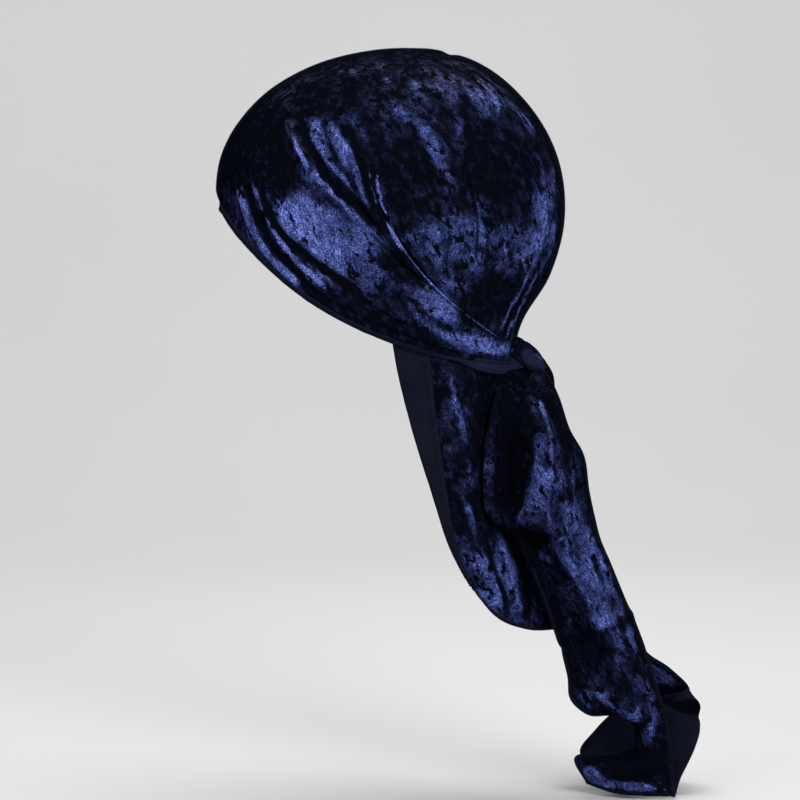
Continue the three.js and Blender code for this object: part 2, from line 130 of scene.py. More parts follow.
# The band's rolled edge, across it: how far past the edge, how high, in roll radii.
BAND_ROLL = (
    (0.38, 2.9), (0.71, 2.71), (0.92, 2.38), (1, 2), (0.92, 1.62), (0.71, 1.29), (0.3, 1.1),
    (-0.6, 1.05), (-1.5, 1), (-1.75, 0.5), (-1.5, 0), (-0.6, -0.05), (0.5, 0), (1.4, 0),
)
HEM_LINES = 4
HEM_WIDTH = 3
HEM_WIDTH_AT_KNOT = 7
LIP_HEIGHT = 9  # of the wrong side turned out above the hem, by the knot
LIP_FAR_LAY = -1.0  # shades it away from the knot
TUCK_LINES = 5  # that close the nape down into the knot, from its side to its middle
TUCK_SIDE = np.array((76, -8, -194), float)
TUCK_MIDDLE = np.array((78, 0, -192), float)
EDGE_HALF = 0.7  # half the thickness of the hem and the tuck
SEAM_CALM = 7  # folds die away within this of the centre seam
LIP_STITCHES = (-2.4, -0.8)  # of the two rows, up from the top of the turned-out edge
LIP_STITCH_RUN = (0.012, 0.16)  # where they begin and end
FAN_SEED, DENT_SEED, SWELL_SEED = 11, 5, 9

# Creases of the left half in side view. height is over the cap, negative for a groove; low and
# high are the widths of its two flanks, below and above the line. shine paints a highlight along a
# crest and, under 0, a shade along a groove, drawn through how flat the pile lies; spread is how
# far it reaches to each side.
CREST_ROUND = 0.8  # radius of a crest
CAP_CREASES = (
    # height, low, high, shine, spread, (x, z) points along it
    (2.6, 4, 1.8, 1.0, 0.7, (
        (-74, -40), (-72, -48), (-68, -57), (-58, -74), (-43, -91), (-24, -109), (-8, -124))),
    (-1.8, 3, 4, -1.7, 2.7, (
        (-67, -36), (-64, -46), (-59, -59), (-50, -73), (-39, -85), (-26, -98), (-12, -112))),
    (1.2, 3, 3, 0.36, 3.4, ((-56, -34), (-53, -56), (-47, -73), (-35, -87), (-25, -101))),
    (-0.9, 2, 2, -0.35, 1.4, ((-50, -44), (-46, -58), (-40, -70), (-31, -82), (-25, -92))),
    (1.3, 3, 2.4, 0.5, 2.2, (
        (-47, -34), (-40, -53), (-31, -67), (-27, -80), (-23, -92), (-18, -103), (-11, -113))),
    (-0.5, 3, 3, -1.4, 2.2, ((-37, -42), (-28, -61), (-23, -77), (-20, -90), (-15, -102), (-9, -112))),
    (0.9, 1, 1, 1.2, 0.8, ((-20, -76), (-19, -85), (-16, -93), (-15, -103), (-11, -112))),
    (0.9, 1, 1, 1.3, 0.8, ((-15, -76), (-14, -87), (-11, -99), (-5, -115), (2, -128))),
    (1.5, 2.2, 2.2, 0.9, 1.9, (
        (-106, -82), (-99, -103), (-92, -119), (-85, -130), (-75, -140), (-62, -153))),
    (-1.2, 2, 2, -1.3, 1.9, ((-101, -76), (-95, -99), (-88, -114), (-80, -127), (-71, -137), (-48, -158))),
    (1.5, 1.8, 1.8, 1.1, 1.2, ((-98, -76), (-90, -95), (-83, -111), (-75, -124), (-67, -133), (-44, -155))),
    (-1.6, 2, 3, -1.7, 2.3, (
        (-91, -84), (-85, -103), (-75, -118), (-63, -128), (-51, -137), (-38, -146), (-22, -157))),
    (0.9, 4, 4, 0.17, 4.5, ((-8, -30), (2, -40), (14, -49), (22, -64), (31, -81), (36, -97), (44, -114))),
    (-0.7, 3, 3, -0.6, 2.4, ((6, -54), (15, -68), (22, -84), (27, -98))),
    (1.6, 2.4, 5, 0.3, 3, ((2, -158), (8, -165), (19, -175), (34, -184), (52, -190), (66, -194))),
    (1.4, 1.4, 1.4, 0.7, 0.9, ((84, -138), (79, -150), (74, -160), (70, -168), (63, -183))),
    (1.2, 1.2, 1.2, 0.6, 0.9, ((90, -140), (85, -151), (80, -162), (75, -172), (67, -187))),
    (-1.2, 1.6, 1.6, -1.2, 1.6, ((81, -152), (77, -162), (72, -171), (66, -182))),
    (0.9, 3, 3, 0.2, 2, ((88, -60), (92, -80), (93, -104), (89, -128), (84, -146))),
    (-0.8, 2.5, 2.5, -0.3, 1.2, ((52, -100), (56, -114), (57, -130), (55, -146))),
    (-0.8, 2.5, 2.5, -0.4, 1.0, ((44, -84), (49, -100), (50, -116), (48, -132))),
)
FAR_MARKS = 0.45  # how much of the creases' shine the right half shows

# Where the pile lies flat and shines, in side view: the crushed pile's own patches, drawn
# brighter as painted sheen where they catch the light and darker as painted shade where they
# turn away from it and where they lie in shade. A strong under 0 is dull. The other tables of
# creases and patches have the same columns.
USUAL_LAY = 0.38
CAP_BRUSHED = (
    # x, z, long, wide, tilt, strong
    (-45, -118, 47, 20, -38, 0.66),  # front panel
    (-68, -100, 13, 9, -40, 0.15),
    (-80, -62, 34, 9, -78, -0.7),  # shade in front of the tension folds
    (-1, -137, 16, 11, -42, -0.6),  # shade under the band's edge
    (22, -161, 22, 8, -38, 0.5),  # lower band
    (52, -188, 26, 5, -14, 0.68),  # gathers at the knot
    (51, -124, 60, 17, -4, 0.27),  # belt across the back
    (95, -98, 9, 34, 0, 0.3),  # beside the back seam
    (28, -26, 24, 9, -5, 0.25),  # under the crown
    (66, -36, 26, 10, -38, 0.22),
    (64, -71, 30, 21, -18, -0.6),  # back of the head
    (-42, -30, 34, 12, 14, -0.42),
    (-42, -66, 28, 14, -62, 0.2),  # tension folds
    (0, -88, 20, 30, -20, -0.45),
    (56, -160, 26, 12, 30, -0.4),  # over the nape
    # painted shade on the brow, which turns away from the light
    (-106, -55, 20, 30, 10, -0.9),  # brow
    (-22, -172, 52, 8, -24, -0.45),  # along the hem
    (-60, -157, 30, 5, -38, -0.1),
)


# ---------------------------------------------------------------- the other pieces' shapes

# Half of the neck flap, level by level: points at its front edge, its fullest part, where it turns
# in behind the neck, and its centre. FLAP_TURNED is how wide the turned edge is at each level.
FLAP = np.array((
    ((-4, -64, -184), (32, -55, -190), (57, -34, -198), (62, -0.4, -199)),
    ((0, -62.5, -207), (42, -53, -209), (64, -26, -216), (78, -0.4, -222)),
    ((10, -60.5, -247), (46, -50, -249), (63, -21, -251), (88, -0.4, -252)),
    ((21, -58, -283), (46, -48, -286), (64, -20, -288), (94, -0.4, -288)),
    ((32, -53, -318), (58, -44, -322), (76, -18, -324), (100, -0.4, -324)),
    ((40, -49, -336), (64, -40, -350), (84, -18, -354), (106, -0.4, -354)),
    ((46, -46, -348), (65, -35, -371), (87, -20, -381), (110, -0.4, -383)),
), float)
FLAP_TURNED = np.array((22, 20, 15, 9, 4, 2.5, 2), float)
FLAP_BRUSHED = (
    (38, -236, 36, 13, -80, 0.17),
    (52, -214, 12, 8, -60, 0.2),
    (44, -262, 16, 10, 0, -0.25),
    # painted shade in the flap's deep fold
    (60, -255, 60, 9, -84, -0.8),
    (60, -345, 34, 26, -40, 0.46),
    (84, -330, 26, 12, -70, -0.1),
    (56, -330, 22, 3, -70, -0.35),
    (80, -356, 26, 3, -72, -0.3),
)
FLAP_CREASES = (
    (1.6, 3, 3, 0.4, 2.2, ((40, -282), (46, -304), (54, -328), (62, -350), (66, -368))),
    (-1.4, 2.5, 2.5, -0.6, 1.6, ((46, -286), (53, -308), (61, -332), (69, -356), (72, -372))),
    (1.4, 3, 3, 0.4, 2.2, ((56, -292), (64, -316), (74, -342), (80, -372))),
    (-1.2, 2.5, 2.5, -0.6, 1.6, ((64, -296), (72, -318), (82, -344), (88, -372))),
    (1.0, 3, 3, 0.3, 2, ((32, -205), (36, -225), (42, -252), (46, -276))),
    (-0.9, 2.5, 3, -0.3, 2, ((44, -205), (47, -225), (50, -248), (51, -270))),
)
TURNED_GAP = 2.4  # between the flap and its turned edge, middle to middle
FLAP_GRID = (150, 96)  # rows and columns
FLAP_SEED, FLAP_DENT_SEED = 31, 33
FLAP_LAY = 0.27
FLAP_HEM_DULL = 1.5  # how far in from its hems the pile is dull
STRIP_LINES = 22  # of the turned edge
BEND_LINES = 7
TWIN_INSETS = (3.0, 4.4)  # of the two rows of stitches, from the turned edge's raw side
STITCH_LIFT = 0.05  # of stitches over the cloth

SEAM_RISE = 4.2  # height of the standing seams
SEAM_FOOT = 0.6  # how deep they start
SEAM_THICK = 1.8
SEAM_LAY = -0.25
SEAM_START = 0.6  # degrees from the first fold
SEAM_END = -3  # degrees on past the last fold, into the knot
SEAM_POINTS = 330
SEAM_KINK = 158  # point of the centre seam with a nick
FLAP_SEAM_START = 0.1  # level
FLAP_SEAM_POINTS = 160
SEAM_LOOP = {"reach": 0.0036, "thickness": 0.0027}  # of their overlock stitches, in metres

# Wraps of the knot: each stands over what lies before its plane. x, y and z are the plane's
# normal in the tilted knot, at: how far from the middle it cuts, in knot radii. A row without a
# step is a dent.
KNOT_WRAPS = (
    # x, y, z, at, depth, width, step
    (0.0, 0.0, 1.0, -0.31, 1.6, 0.07, 4.2),
    (0.9, -0.3, 0.2, -0.22, 0.7, 0.06, 0.9),
    (-0.3, 0.9, 0.35, 0.35, 1.2, 0.08, 1.2),
    (0.15, -0.15, 1.0, 1.0, 2.6, 0.3, 0.0),
    (1.0, -0.1, 0.3, 1.0, 2.6, 0.16, 0.0),
)
KNOT_SEED, HOOD_SEED = 61, 62
# painted shade over the pulled-over wrong side on the knot, outside its highlight
HOOD_PAINTED_SHADE = -1.2  # of the pulled-over wrong side on the knot
KNOT_LAY = -0.1
# Painted highlight on the wrong side of the knot, where it is palest.
KNOT_PAINTED_HIGHLIGHTS = (
    (87, -199.5, 8, 5, -50, 0.7),
    (95, -203, 10, 3.5, -60, 0.5),
)

# The near tail of the ties, level by level: points at its left hem, which is turned under along
# the upper part, at its left edge, valley and ridge, and at its right hem.
NEAR_TAIL = np.array((
    ((72, -2, -200), (66, -6, -199), (79, -4, -201), (88, -4, -201), (93, -2, -200)),
    ((71, -12, -215), (65.5, -21, -213), (79, -12, -214), (91.5, -14, -212), (99, -6, -211)),
    ((68, -24, -229), (62, -35, -228), (75, -22, -228), (92, -27, -226), (106, -7, -226)),
    ((65, -26, -247), (59, -38, -246), (71, -25, -246), (97, -40, -247), (113, -10, -247)),
    ((64, -28, -266), (58, -41, -266), (71, -24, -266), (98, -47, -265), (122.5, -14, -265)),
    ((64, -29, -286), (57.5, -42, -288), (71, -25, -290), (95, -49, -290), (126, -16, -288)),
    ((70, -27, -298), (63, -43, -303), (75, -37, -306), (90, -49, -308), (130, -15, -306)),
    ((81, -18, -308), (76, -33, -313), (88, -18, -316), (105, -36, -319), (134, -14, -321)),
    ((84, -29, -331), (84, -35, -332), (94, -17, -334), (114, -32, -335), (140.5, -12, -336)),
    ((95, -33, -357), (99, -25, -357), (107, -14, -358), (126, -29, -359), (150, -10, -359)),
    ((105, -28, -387), (109, -21, -387), (118, -12, -388), (138, -27, -389), (163, -8, -390)),
    ((112, -26, -411), (117, -19, -411), (126, -13, -412), (148, -25, -414), (171, -8, -415)),
    ((114, -24, -427), (119, -19, -427), (129, -16, -428), (152, -24, -430), (176.4, -8, -431)),
    ((126, -14, -439), (131, -14, -439), (140, -14, -438), (157, -20, -440), (179, -8, -441)),
    ((146, 3, -442), (149, 1, -442), (155, -3, -443), (166, -14, -447), (181, -8, -449)),
    ((159, 13, -452), (160.5, 9, -452), (164, 2, -453), (171, -10, -455), (182, -8, -457)),
    ((160, 13, -464), (161.5, 9, -464), (165, 1, -465), (172, -9, -465), (183, -8, -466)),
    ((146, 8, -470), (149, 3, -471), (154, -5, -473), (167, -10, -475), (184, -7, -475)),
    ((118.5, 0, -471), (124, -2, -474), (134, -5, -480), (160, -6, -485), (185, -6, -484)),
    ((127, 6, -490), (133, 2, -492), (144, -4, -494.5), (165, -8, -496), (186, -4, -497)),
), float)
NEAR_GRID = (320, 66)
NEAR_SEED = 41
NEAR_LAY = 0.34
NEAR_FOLD_LEVEL = 11.6  # where its end begins to buckle
NEAR_TAIL_CREASES = (
    (3, 2, 3, 0.3, 0.9, (
        (60, -244), (58.5, -268), (58.5, -286), (61, -300), (68, -310), (76, -310), (83, -298), (87, -282))),
    (-2, 5, 5, -1.2, 4, ((71, -244), (71, -262), (71, -282), (73, -298))),
    (1.2, 1.6, 1.6, 0.5, 0.9, ((92, -224), (95, -237), (98, -248), (99, -264), (99, -280))),
    (-1.4, 2, 2, -0.8, 2.2, ((96, -222), (101, -236), (107, -250), (114, -262))),
    (1.2, 3, 3, 0.2, 3, ((112, -330), (124, -356), (137, -388), (147, -414))),
    (-1.2, 3, 3, -0.3, 2, ((128, -330), (138, -356), (150, -386), (160, -412))),
    (1.0, 2, 2, 0.3, 1.5, ((118, -402), (126, -416), (138, -430), (152, -438))),
    (1.5, 5, 1.6, -0.25, 2.5, ((104, -393), (122, -388), (137, -381), (150, -374), (162, -367))),
)
NEAR_TAIL_BRUSHED = (
    (62, -284, 26, 4, 88, -0.25),
    (92, -262, 18, 4, 84, 0.3),
    (92, -284, 18, 11, 60, 0.42),
    (104, -286, 30, 12, -70, 0.0),
    (124, -330, 46, 15, -66, 0.4),
    (141, -352, 22, 18, -66, 0.2),
    (134, -398, 26, 17, -60, -0.12),
    (144, -376, 20, 11, -60, 0.25),
    # painted shade in the valley down the tail's left half
    (86, -345, 50, 10, -64, -0.75),
    (108, -400, 36, 9, -70, -0.5),
    # painted shadow in the deep fold at the tail's left and in the pocket below it
    (74, -240, 40, 10, -86, -0.75),
    (76, -280, 22, 9, 88, -0.55),
    (108, -240, 26, 8, -66, -0.3),
    (138, -414, 18, 22, 20, -0.1),
    (166, -432, 26, 7, -72, 0.3),
    (168, -452, 9, 3, 85, 0.6),
    # painted shadow under the pouch
    (84, -318, 12, 8, 0, -0.6),
)
NEAR_FOLD_BRUSHED = (
    (156, -443, 13, 4, 78, 0.55),
    # painted shadow in the hollow of the curled end
    (154, -475, 30, 11, -8, -1.1),
    (156, -490, 34, 4, -7, 0.9),
    (130, -482, 9, 8, 60, 0.8),
    (168, -452, 9, 3, 85, 0.6),
    (176, -470, 30, 7, 85, -0.3),
)

# The far tail of the ties, level by level: points at its left hem, middle and right hem.
FAR_TAIL = np.array((
    ((97, 3, -202), (92, 8, -202), (85, 8, -202)),
    ((102.5, 3, -212), (98, 12.5, -212), (87, 16, -212)),
    ((104, 4, -232), (106, 16, -231), (96, 26, -230)),
    ((112, 3, -262), (113, 20, -262), (97, 34, -262)),
    ((124, 3, -302), (124, 22, -302), (101, 40, -302)),
    ((139, 4, -346), (136, 26, -348), (110, 46, -350)),
    ((155, 8, -380), (148, 32, -386), (122, 52, -392)),
    ((168, 16, -402), (158, 40, -413), (134, 60, -424)),
    ((184, 24, -414), (174, 46, -430), (152, 64, -444)),
    ((197, 26, -427), (200, 40, -440), (188, 54, -452)),
    ((192, 14, -429), (205.5, 28, -441), (204, 40, -452)),
    ((172, 17, -434), (190, 18, -444), (205, 22, -457)),
    ((148, 30, -445), (178, 20, -456), (201, 12, -467)),
    ((133, 32, -460), (165, 21, -471), (196, 9, -477)),
    ((124, 32, -473), (156, 21, -483), (191, 8, -487)),
    ((132, 33, -487), (158, 22, -493), (188, 9, -497.5)),
), float)
FAR_GRID = (330, 66)
FAR_SEED = 51
FAR_FOLD_LEVEL = 9.5  # where it is turned over
FAR_TAIL_BRUSHED = (
    (183, -426, 14, 7, -38, 0.9),
    # painted shadow under the turned-over fold
    (194, -438.5, 24, 8.5, -22, -1.7),
    (140, -470, 40, 14, 0, -0.6),
    (150, -370, 50, 16, -60, 0.3),
    (120, -300, 60, 16, -76, 0.3),
)
TAIL_TOP = 150  # rows of a tail that hang straight
TAIL_HEM_DULL = 4  # how far in from its hems the pile is dull


# ---------------------------------------------------------------- thread, finishes and stage

LOOP_SIDES = 12
LOOP_MIDDLE = 0.42  # how far in from the edge, as a share of the loop's reach
THREAD_SIDES = 4
STITCH_SHARE = 0.8  # of a stitch's spacing that shows
PILE_LEAN = -30  # degrees, the way the cloth is pulled
PILE_DRAWN = 1.7  # how long the islands of laid pile are for their width
KNIT_WALE = 0.0006
TURNED_TONE = (1.85, 1.95, 2.5)  # of the wrong side's colour, where it is pulled taut
STITCH_TONE = 0.3  # of the overlock thread's colour

FLOOR_GAP = 0.001  # below the durag
SWEEP_FRONT = -3.2
SWEEP_SIDE = 3.5
SWEEP_START = 1.3  # where the floor begins to curve up
SWEEP_RADIUS = 1.7
SWEEP_STEPS = 16
SWEEP_TOP = 3.5
AIM = (0.03, 0, -0.2)
LIGHTS = (
    # name, size, the setting of its power, share of that, place, aim
    ("key", 0.9, "key", 1, (0.75, -1.5, 0.55), AIM),
    ("fill", 1.2, "fill", 1, (-1.3, -1.3, 0.25), AIM),
    ("top", 1.0, "fill", 1, (0.1, 0.3, 1.3), AIM),
    ("wash", 2.5, "fill", 7.2, (0.0, 0.5, 2.8), (0, 2.9, 0.3)),
)
SKY = {"Color": (0.9, 0.92, 1.0, 1.0), "Strength": 0.35}
SENSOR_WIDTH = 36
CAMERA_HEIGHT = -0.0965
CAMERA_TARGET = (0.0, 0.0, -0.2285)


# ---------------------------------------------------------------- curves and noise

def norm(vectors):
    return np.linalg.norm(vectors, axis=-1)


def unit(vectors):
    return vectors / np.maximum(norm(vectors)[..., None], 1e-9)


def mix(a, b, share):
    return a + (b - a) * share


def ease(low, high, value):
    """0 at low, 1 at high, and smooth in between."""
    t = np.clip((value - low) / (high - low), 0, 1)
    return t * t * (3 - 2 * t)


def square_to(vectors, along):
    """Unit vectors with what lies along a unit direction taken out."""
    return unit(vectors - (vectors * along).sum(-1, keepdims=True) * along)


def smooth(values, place):
    """Catmull-Rom value of a column at places between its rows."""
    place = np.asarray(place, float)
    row = np.clip(np.floor(place).astype(int), 0, len(values) - 2)
    t = place - row
    if values.ndim > 1:
        t = t[..., None]
    a, b, c, d = (values[np.clip(row + step, 0, len(values) - 1)] for step in (-1, 0, 1, 2))
    return b + 0.5 * (
        (c - a) * t + (2 * a - 5 * b + 4 * c - d) * t**2 + (3 * b - a - 3 * c + d) * t**3
    )


def through(points, place):
    """Centripetal Catmull-Rom curves through rows of points, at places between the rows."""
    rows = np.concatenate((2 * points[:1] - points[1:2], points, 2 * points[-1:] - points[-2:-1]))
    place = np.asarray(place, float)
    row = np.clip(np.floor(place).astype(int), 0, len(points) - 2)
    t = (place - row).reshape(-1, *[1] * (points.ndim - 1))
    a, b, c, d = (rows[row + step] for step in range(4))
    ab, bc, cd = (np.sqrt(norm(q - p)[..., None]) for p, q in ((a, b), (b, c), (c, d)))
    leave = ((b - a) / ab - (c - a) / (ab + bc) + (c - b) / bc) * bc
    arrive = ((c - b) / bc - (d - b) / (bc + cd) + (d - c) / cd) * bc
    return (
        (2 * t**3 - 3 * t**2 + 1) * b + (t**3 - 2 * t**2 + t) * leave
        + (3 * t**2 - 2 * t**3) * c + (t**3 - t**2) * arrive
    )


def spread(steps, count):
    """Places, count of them, that are evenly far apart along a line of steps."""
    measure = np.concatenate(([0], np.cumsum(np.abs(steps))))
    return np.interp(np.linspace(0, measure[-1], count), measure, np.arange(len(measure)))


def evenly(points, count):
    """Places between rows of points that cut their curves into even steps."""
    fine = np.linspace(0, len(points) - 1, 20 * len(points))
    steps = norm(np.diff(through(points, fine), axis=0))
    steps = steps.reshape(len(steps), -1).mean(1)
    return np.interp(spread(steps, count), np.arange(len(fine)), fine)


def level_grid(levels, rows, columns):
    """Grid through levels of points, that make lines down the cloth, and the level of each row."""
    down = evenly(levels, rows)
    lines = through(levels, down).transpose(1, 0, 2)
    return through(lines, evenly(lines, columns)).transpose(1, 0, 2), down


def lengths(grid, axis):
    """Distance along each line of a grid from its start."""
    steps = norm(np.diff(grid, axis=axis))
    start = np.zeros_like(np.take(steps, [0], axis))
    return np.concatenate((start, np.cumsum(steps, axis)), axis)


def between(points, run, at):
    """Points at distances along one line of points, whose own distances are run."""
    return np.stack([np.interp(at, run, points[:, k]) for k in range(3)], -1)


def grid_normals(grid):
    """Unit normals of a grid of points, rows by columns."""
    return unit(np.cross(np.gradient(grid, axis=0), np.gradient(grid, axis=1)))


def pile_side(grid):
    """1 where the normals of a grid of the left half point away from the head, or else -1."""
    return 1 if grid_normals(grid)[..., 1].mean() < 0 else -1


def raised(grid, lift, side):
    """A grid moved out along its normals."""
    return grid + grid_normals(grid) * (side * lift)[..., None]


def mirror(grid):
    return grid * (1, -1, 1)


def keep_left(points, gap):
    """Holds points of the left half off the mid-plane, by a gap past the usual one."""
    points[..., 1] = np.minimum(points[..., 1], -MID_GAP - gap)


def cloud(points, size, seed, octaves=2):
    """Smooth noise, about -1 to 1, with lumps of about size."""
    side = 32
    lattice = np.random.default_rng(seed).random((side, side, side)) * 2 - 1
    total = np.zeros(points.shape[:-1])
    for octave in range(octaves):
        q = points / size * 2**octave + 7.3 * octave
        cell = np.floor(q).astype(int)
        t = q - cell
        t = t * t * (3 - 2 * t)
        value = 0
        for corner in itertools.product((0, 1), repeat=3):
            x, y, z = np.moveaxis((cell + corner) % side, -1, 0)
            value = value + np.where(corner, t, 1 - t).prod(-1) * lattice[x, y, z]
        total += value / 1.6**octave
    return total


def streaks(across, along, wide, long, seed):
    """Noise drawn out along a cloth, from distances over it."""
    return cloud(np.stack((across / wide, along / long, 0 * along), -1), 1, seed)


def creased(grid, creases, fade=0.16):
    """Height of creases at each point of a grid, in side view, and their shine: painted highlight along
    crests and painted shade along grooves.
    """
    height, crease_shading = np.zeros(grid.shape[:2]), np.zeros(grid.shape[:2])
    for rise, low, high, shine, spread_to, points in creases:
        line = smooth(np.array(points, float), np.linspace(0, len(points) - 1, 8 * len(points)))
        start, step = line[:-1], np.diff(line, axis=0)
        away = grid[:, :, None, ::2] - start
        share = np.clip((away * step).sum(-1) / (step**2).sum(-1), 0, 1)
        rest = away - share[..., None] * step
        distance = norm(rest)
        nearest = distance.argmin(-1)[..., None]
        cross = step[:, 0] * rest[..., 1] - step[:, 1] * rest[..., 0]
        gap, cross, share = (
            np.take_along_axis(part, nearest, -1)[..., 0] for part in (distance, cross, share)
        )
        run = (nearest[..., 0] + share) / len(step)
        width = np.where(cross > 0, high, low)
        taper = ease(0, fade, run) * ease(0, fade, 1 - run)
        height += rise * taper * np.exp((CREST_ROUND - np.hypot(gap, CREST_ROUND)) / width)
        crease_shading += shine * taper * np.exp(-((gap / spread_to) ** 4))
    return height, crease_shading


def brushed(grid, patches, base=USUAL_LAY):
    """How flat the pile lies at each point of a grid, from patches in side view, with the painted sheen and
    shade that the patches carry.
    """
    lay_and_painted_light = np.full(grid.shape[:2], float(base))
    for x, z, long, wide, tilt, strong in patches:
        turn = math.radians(tilt)
        dx, dz = grid[..., 0] - x, grid[..., 2] - z
        along = (dx * math.cos(turn) + dz * math.sin(turn)) / long
        across = (dz * math.cos(turn) - dx * math.sin(turn)) / wide
        lay_and_painted_light += strong * np.exp(-((along**2 + across**2) ** 1.6))
    return lay_and_painted_light


# ---------------------------------------------------------------- pieces of cloth

def linked(name, data):
    """A new object of the scene."""
    made = bpy.data.objects.new(name, data)
    bpy.context.scene.collection.objects.link(made)
    return made


def settle(piece, slot, *nodes):
    """Puts a piece on the durag's one body, in the place of CAD nodes."""
    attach(piece, "root")
    if nodes:
        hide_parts(*nodes)
    return piece


def dressed(mesh, finishes, face_finish, uv, lay_and_painted_light):
    """Gives a mesh its finishes, its map of the cloth in millimetres, and how flat its pile lies, with the
    painted shade and highlights that ride on it.
    """
    for finish in finishes:
        mesh.materials.append(finish)
    mesh.polygons.foreach_set("material_index", face_finish.astype(np.int32))
    layer = mesh.uv_layers.new(name="cloth")
    layer.data.foreach_set("uv", (uv * MM).astype(np.float32).ravel())
    attribute = mesh.attributes.new("lay_and_painted_light", "FLOAT", "POINT")
    attribute.data.foreach_set("value", lay_and_painted_light.astype(np.float32))
    mesh.update(calc_edges=True)
    mesh.validate()
    mesh.shade_smooth()
    return linked(mesh.name, mesh)


def cloth_piece(name, cad_node, grid, thickness, lay_and_painted_light, outward, finishes, turned=None):
    """A closed wall about a grid, in the place of a CAD node. outward is 1 or -1, for the side of
    the grid's normals with the pile. turned marks where that side shows the third finish."""
    rows, columns = grid.shape[:2]
    half = grid_normals(grid) * outward * thickness / 2
    points = np.concatenate((grid + half, grid - half)).reshape(-1, 3)
    index = np.arange(rows * columns).reshape(rows, columns)
    quads = np.stack((index[:-1, :-1], index[1:, :-1], index[1:, 1:], index[:-1, 1:]), -1)
    top = quads.reshape(-1, 4)
    rim = np.concatenate((index[0], index[1:, -1], index[-1, -2::-1], index[-2:0:-1, 0]))
    after, below = np.roll(rim, -1), rows * columns
    side = np.stack((rim, after, after + below, rim + below), 1)
    faces = np.concatenate((top, top[:, ::-1] + below, side))
    a, b, c, d = points[faces].transpose(1, 0, 2)
    if (a * (np.cross(b, c) + np.cross(c, d))).sum() < 0:
        faces = faces[:, ::-1]  # so that they point outward

    mesh = bpy.data.meshes.new(name)
    mesh.vertices.add(len(points))
    mesh.vertices.foreach_set("co", (points * MM).astype(np.float32).ravel())
    mesh.loops.add(faces.size)
    mesh.loops.foreach_set("vertex_index", faces.astype(np.int32).ravel())
    mesh.polygons.add(len(faces))
    mesh.polygons.foreach_set("loop_start", np.arange(0, faces.size, 4, dtype=np.int32))
    finish = np.zeros(len(faces), int)
    finish[len(top):2 * len(top)] = 1
    if turned is not None:
        finish[:len(top)] = 2 * turned[:-1, :-1].ravel()
    u, v = lengths(grid, 1).mean(0), lengths(grid, 0).mean(1)
    uv = np.tile(np.stack(np.meshgrid(u, v), -1).reshape(-1, 2), (2, 1))
    piece = dressed(mesh, finishes, finish, uv[faces.ravel()], np.tile(lay_and_painted_light.ravel(), 2))
    return settle(piece, "velvet", cad_node)


def velvet_finishes():
    return material("velvet_pile"), material("velvet_back")


def border(line, behind):
    """Path along one line of a cloth's grid, with the direction into the cloth."""
    return line, square_to(behind - line, unit(np.gradient(line, axis=0)))


# ---------------------------------------------------------------- the cap

def outline_reach(angle):
    """Reach of the cap's outline at angles in degrees."""
    place = (np.asarray(angle, float) + 180) / (360 / len(OUTLINE)) % len(OUTLINE)
    return smooth(np.concatenate((OUTLINE[-2:], OUTLINE, OUTLINE[:3])), place + 2)


def heading(angle):
    turn = np.radians(angle)
    return np.stack((np.cos(turn), np.sin(turn)), -1)


def seam_point(angle, out=0.0):
    """x and z of the centre seam at angles in degrees."""
    return HEAD_CENTRE + (outline_reach(angle) + out)[..., None] * heading(angle)


def half_width(x, z):
    """Half width of the head at a place in side view."""
    dx, dz = x - HEAD_CENTRE[0], z - HEAD_CENTRE[1]
    share = np.hypot(dx, dz) / outline_reach(np.degrees(np.arctan2(dz, dx)))
    return HALF_WIDTH * np.sqrt(np.maximum(0, 1 - share**FULLNESS))


def cap_point(fold, run):
    """Points of the smooth left half. fold: place in FOLDS. run: 0 at the knot, 1 at the seam."""
    fold, run = np.broadcast_arrays(fold, run)
    rise, leave, arrive, seam = (
        smooth(FOLDS[name], fold) for name in ("rise", "leave", "arrive", "seam")
    )
    start = mix(FOLD_START_LOW, FOLD_START_HIGH, rise[..., None])
    end = seam_point(seam)
    span = norm(end - start)[..., None]
    first = start + LEAVE_PULL * span * heading(leave)
    second = end - ARRIVE_PULL * span * heading(arrive)
    t = run[..., None]
    side = (
        (1 - t) ** 3 * start + 3 * (1 - t) ** 2 * t * first
        + 3 * (1 - t) * t**2 * second + t**3 * end
    )
    x, z = side[..., 0], side[..., 1]
    y = -np.hypot(half_width(x, z), NAPE_DEPTH * (1 - run) ** NAPE_SPREAD)
    return np.stack((x, y, z), -1)


def knot_axes():
    """The knot's own three directions, as rows."""
    tilt = math.radians(KNOT_TILT)
    return np.array((
        (math.cos(tilt), 0, -math.sin(tilt)),
        (0, 1, 0),
        (math.sin(tilt), 0, math.cos(tilt)),
    ))


def leaves_knot(fold):
    """Run at which each fold comes out of the knot."""
    runs = np.linspace(0, 0.5, 200)
    points = cap_point(fold[:, None], runs[None, :])
    share = norm((points - KNOT_CENTRE) @ knot_axes().T / (KNOT_RADII + 0.5))
    return runs[(share >= 1).argmax(1)]


def cap_lines():
    """Places in FOLDS of the cap's lines: even over the cloth, and close round the band's edge."""
    places = np.linspace(0, len(FOLDS["seam"]) - 1, 400)
    steps = norm(np.diff(cap_point(places, WIDE_RUN), axis=0))
    even = spread(steps, CAP_LINES) * places[-1] / (len(places) - 1)
    roll = BAND_EDGE + np.arange(1, len(BAND_ROLL) + 1) / (len(BAND_ROLL) + 1)
    return np.concatenate((even[even < BAND_EDGE], [BAND_EDGE], roll, even[even > BAND_FOOT]))


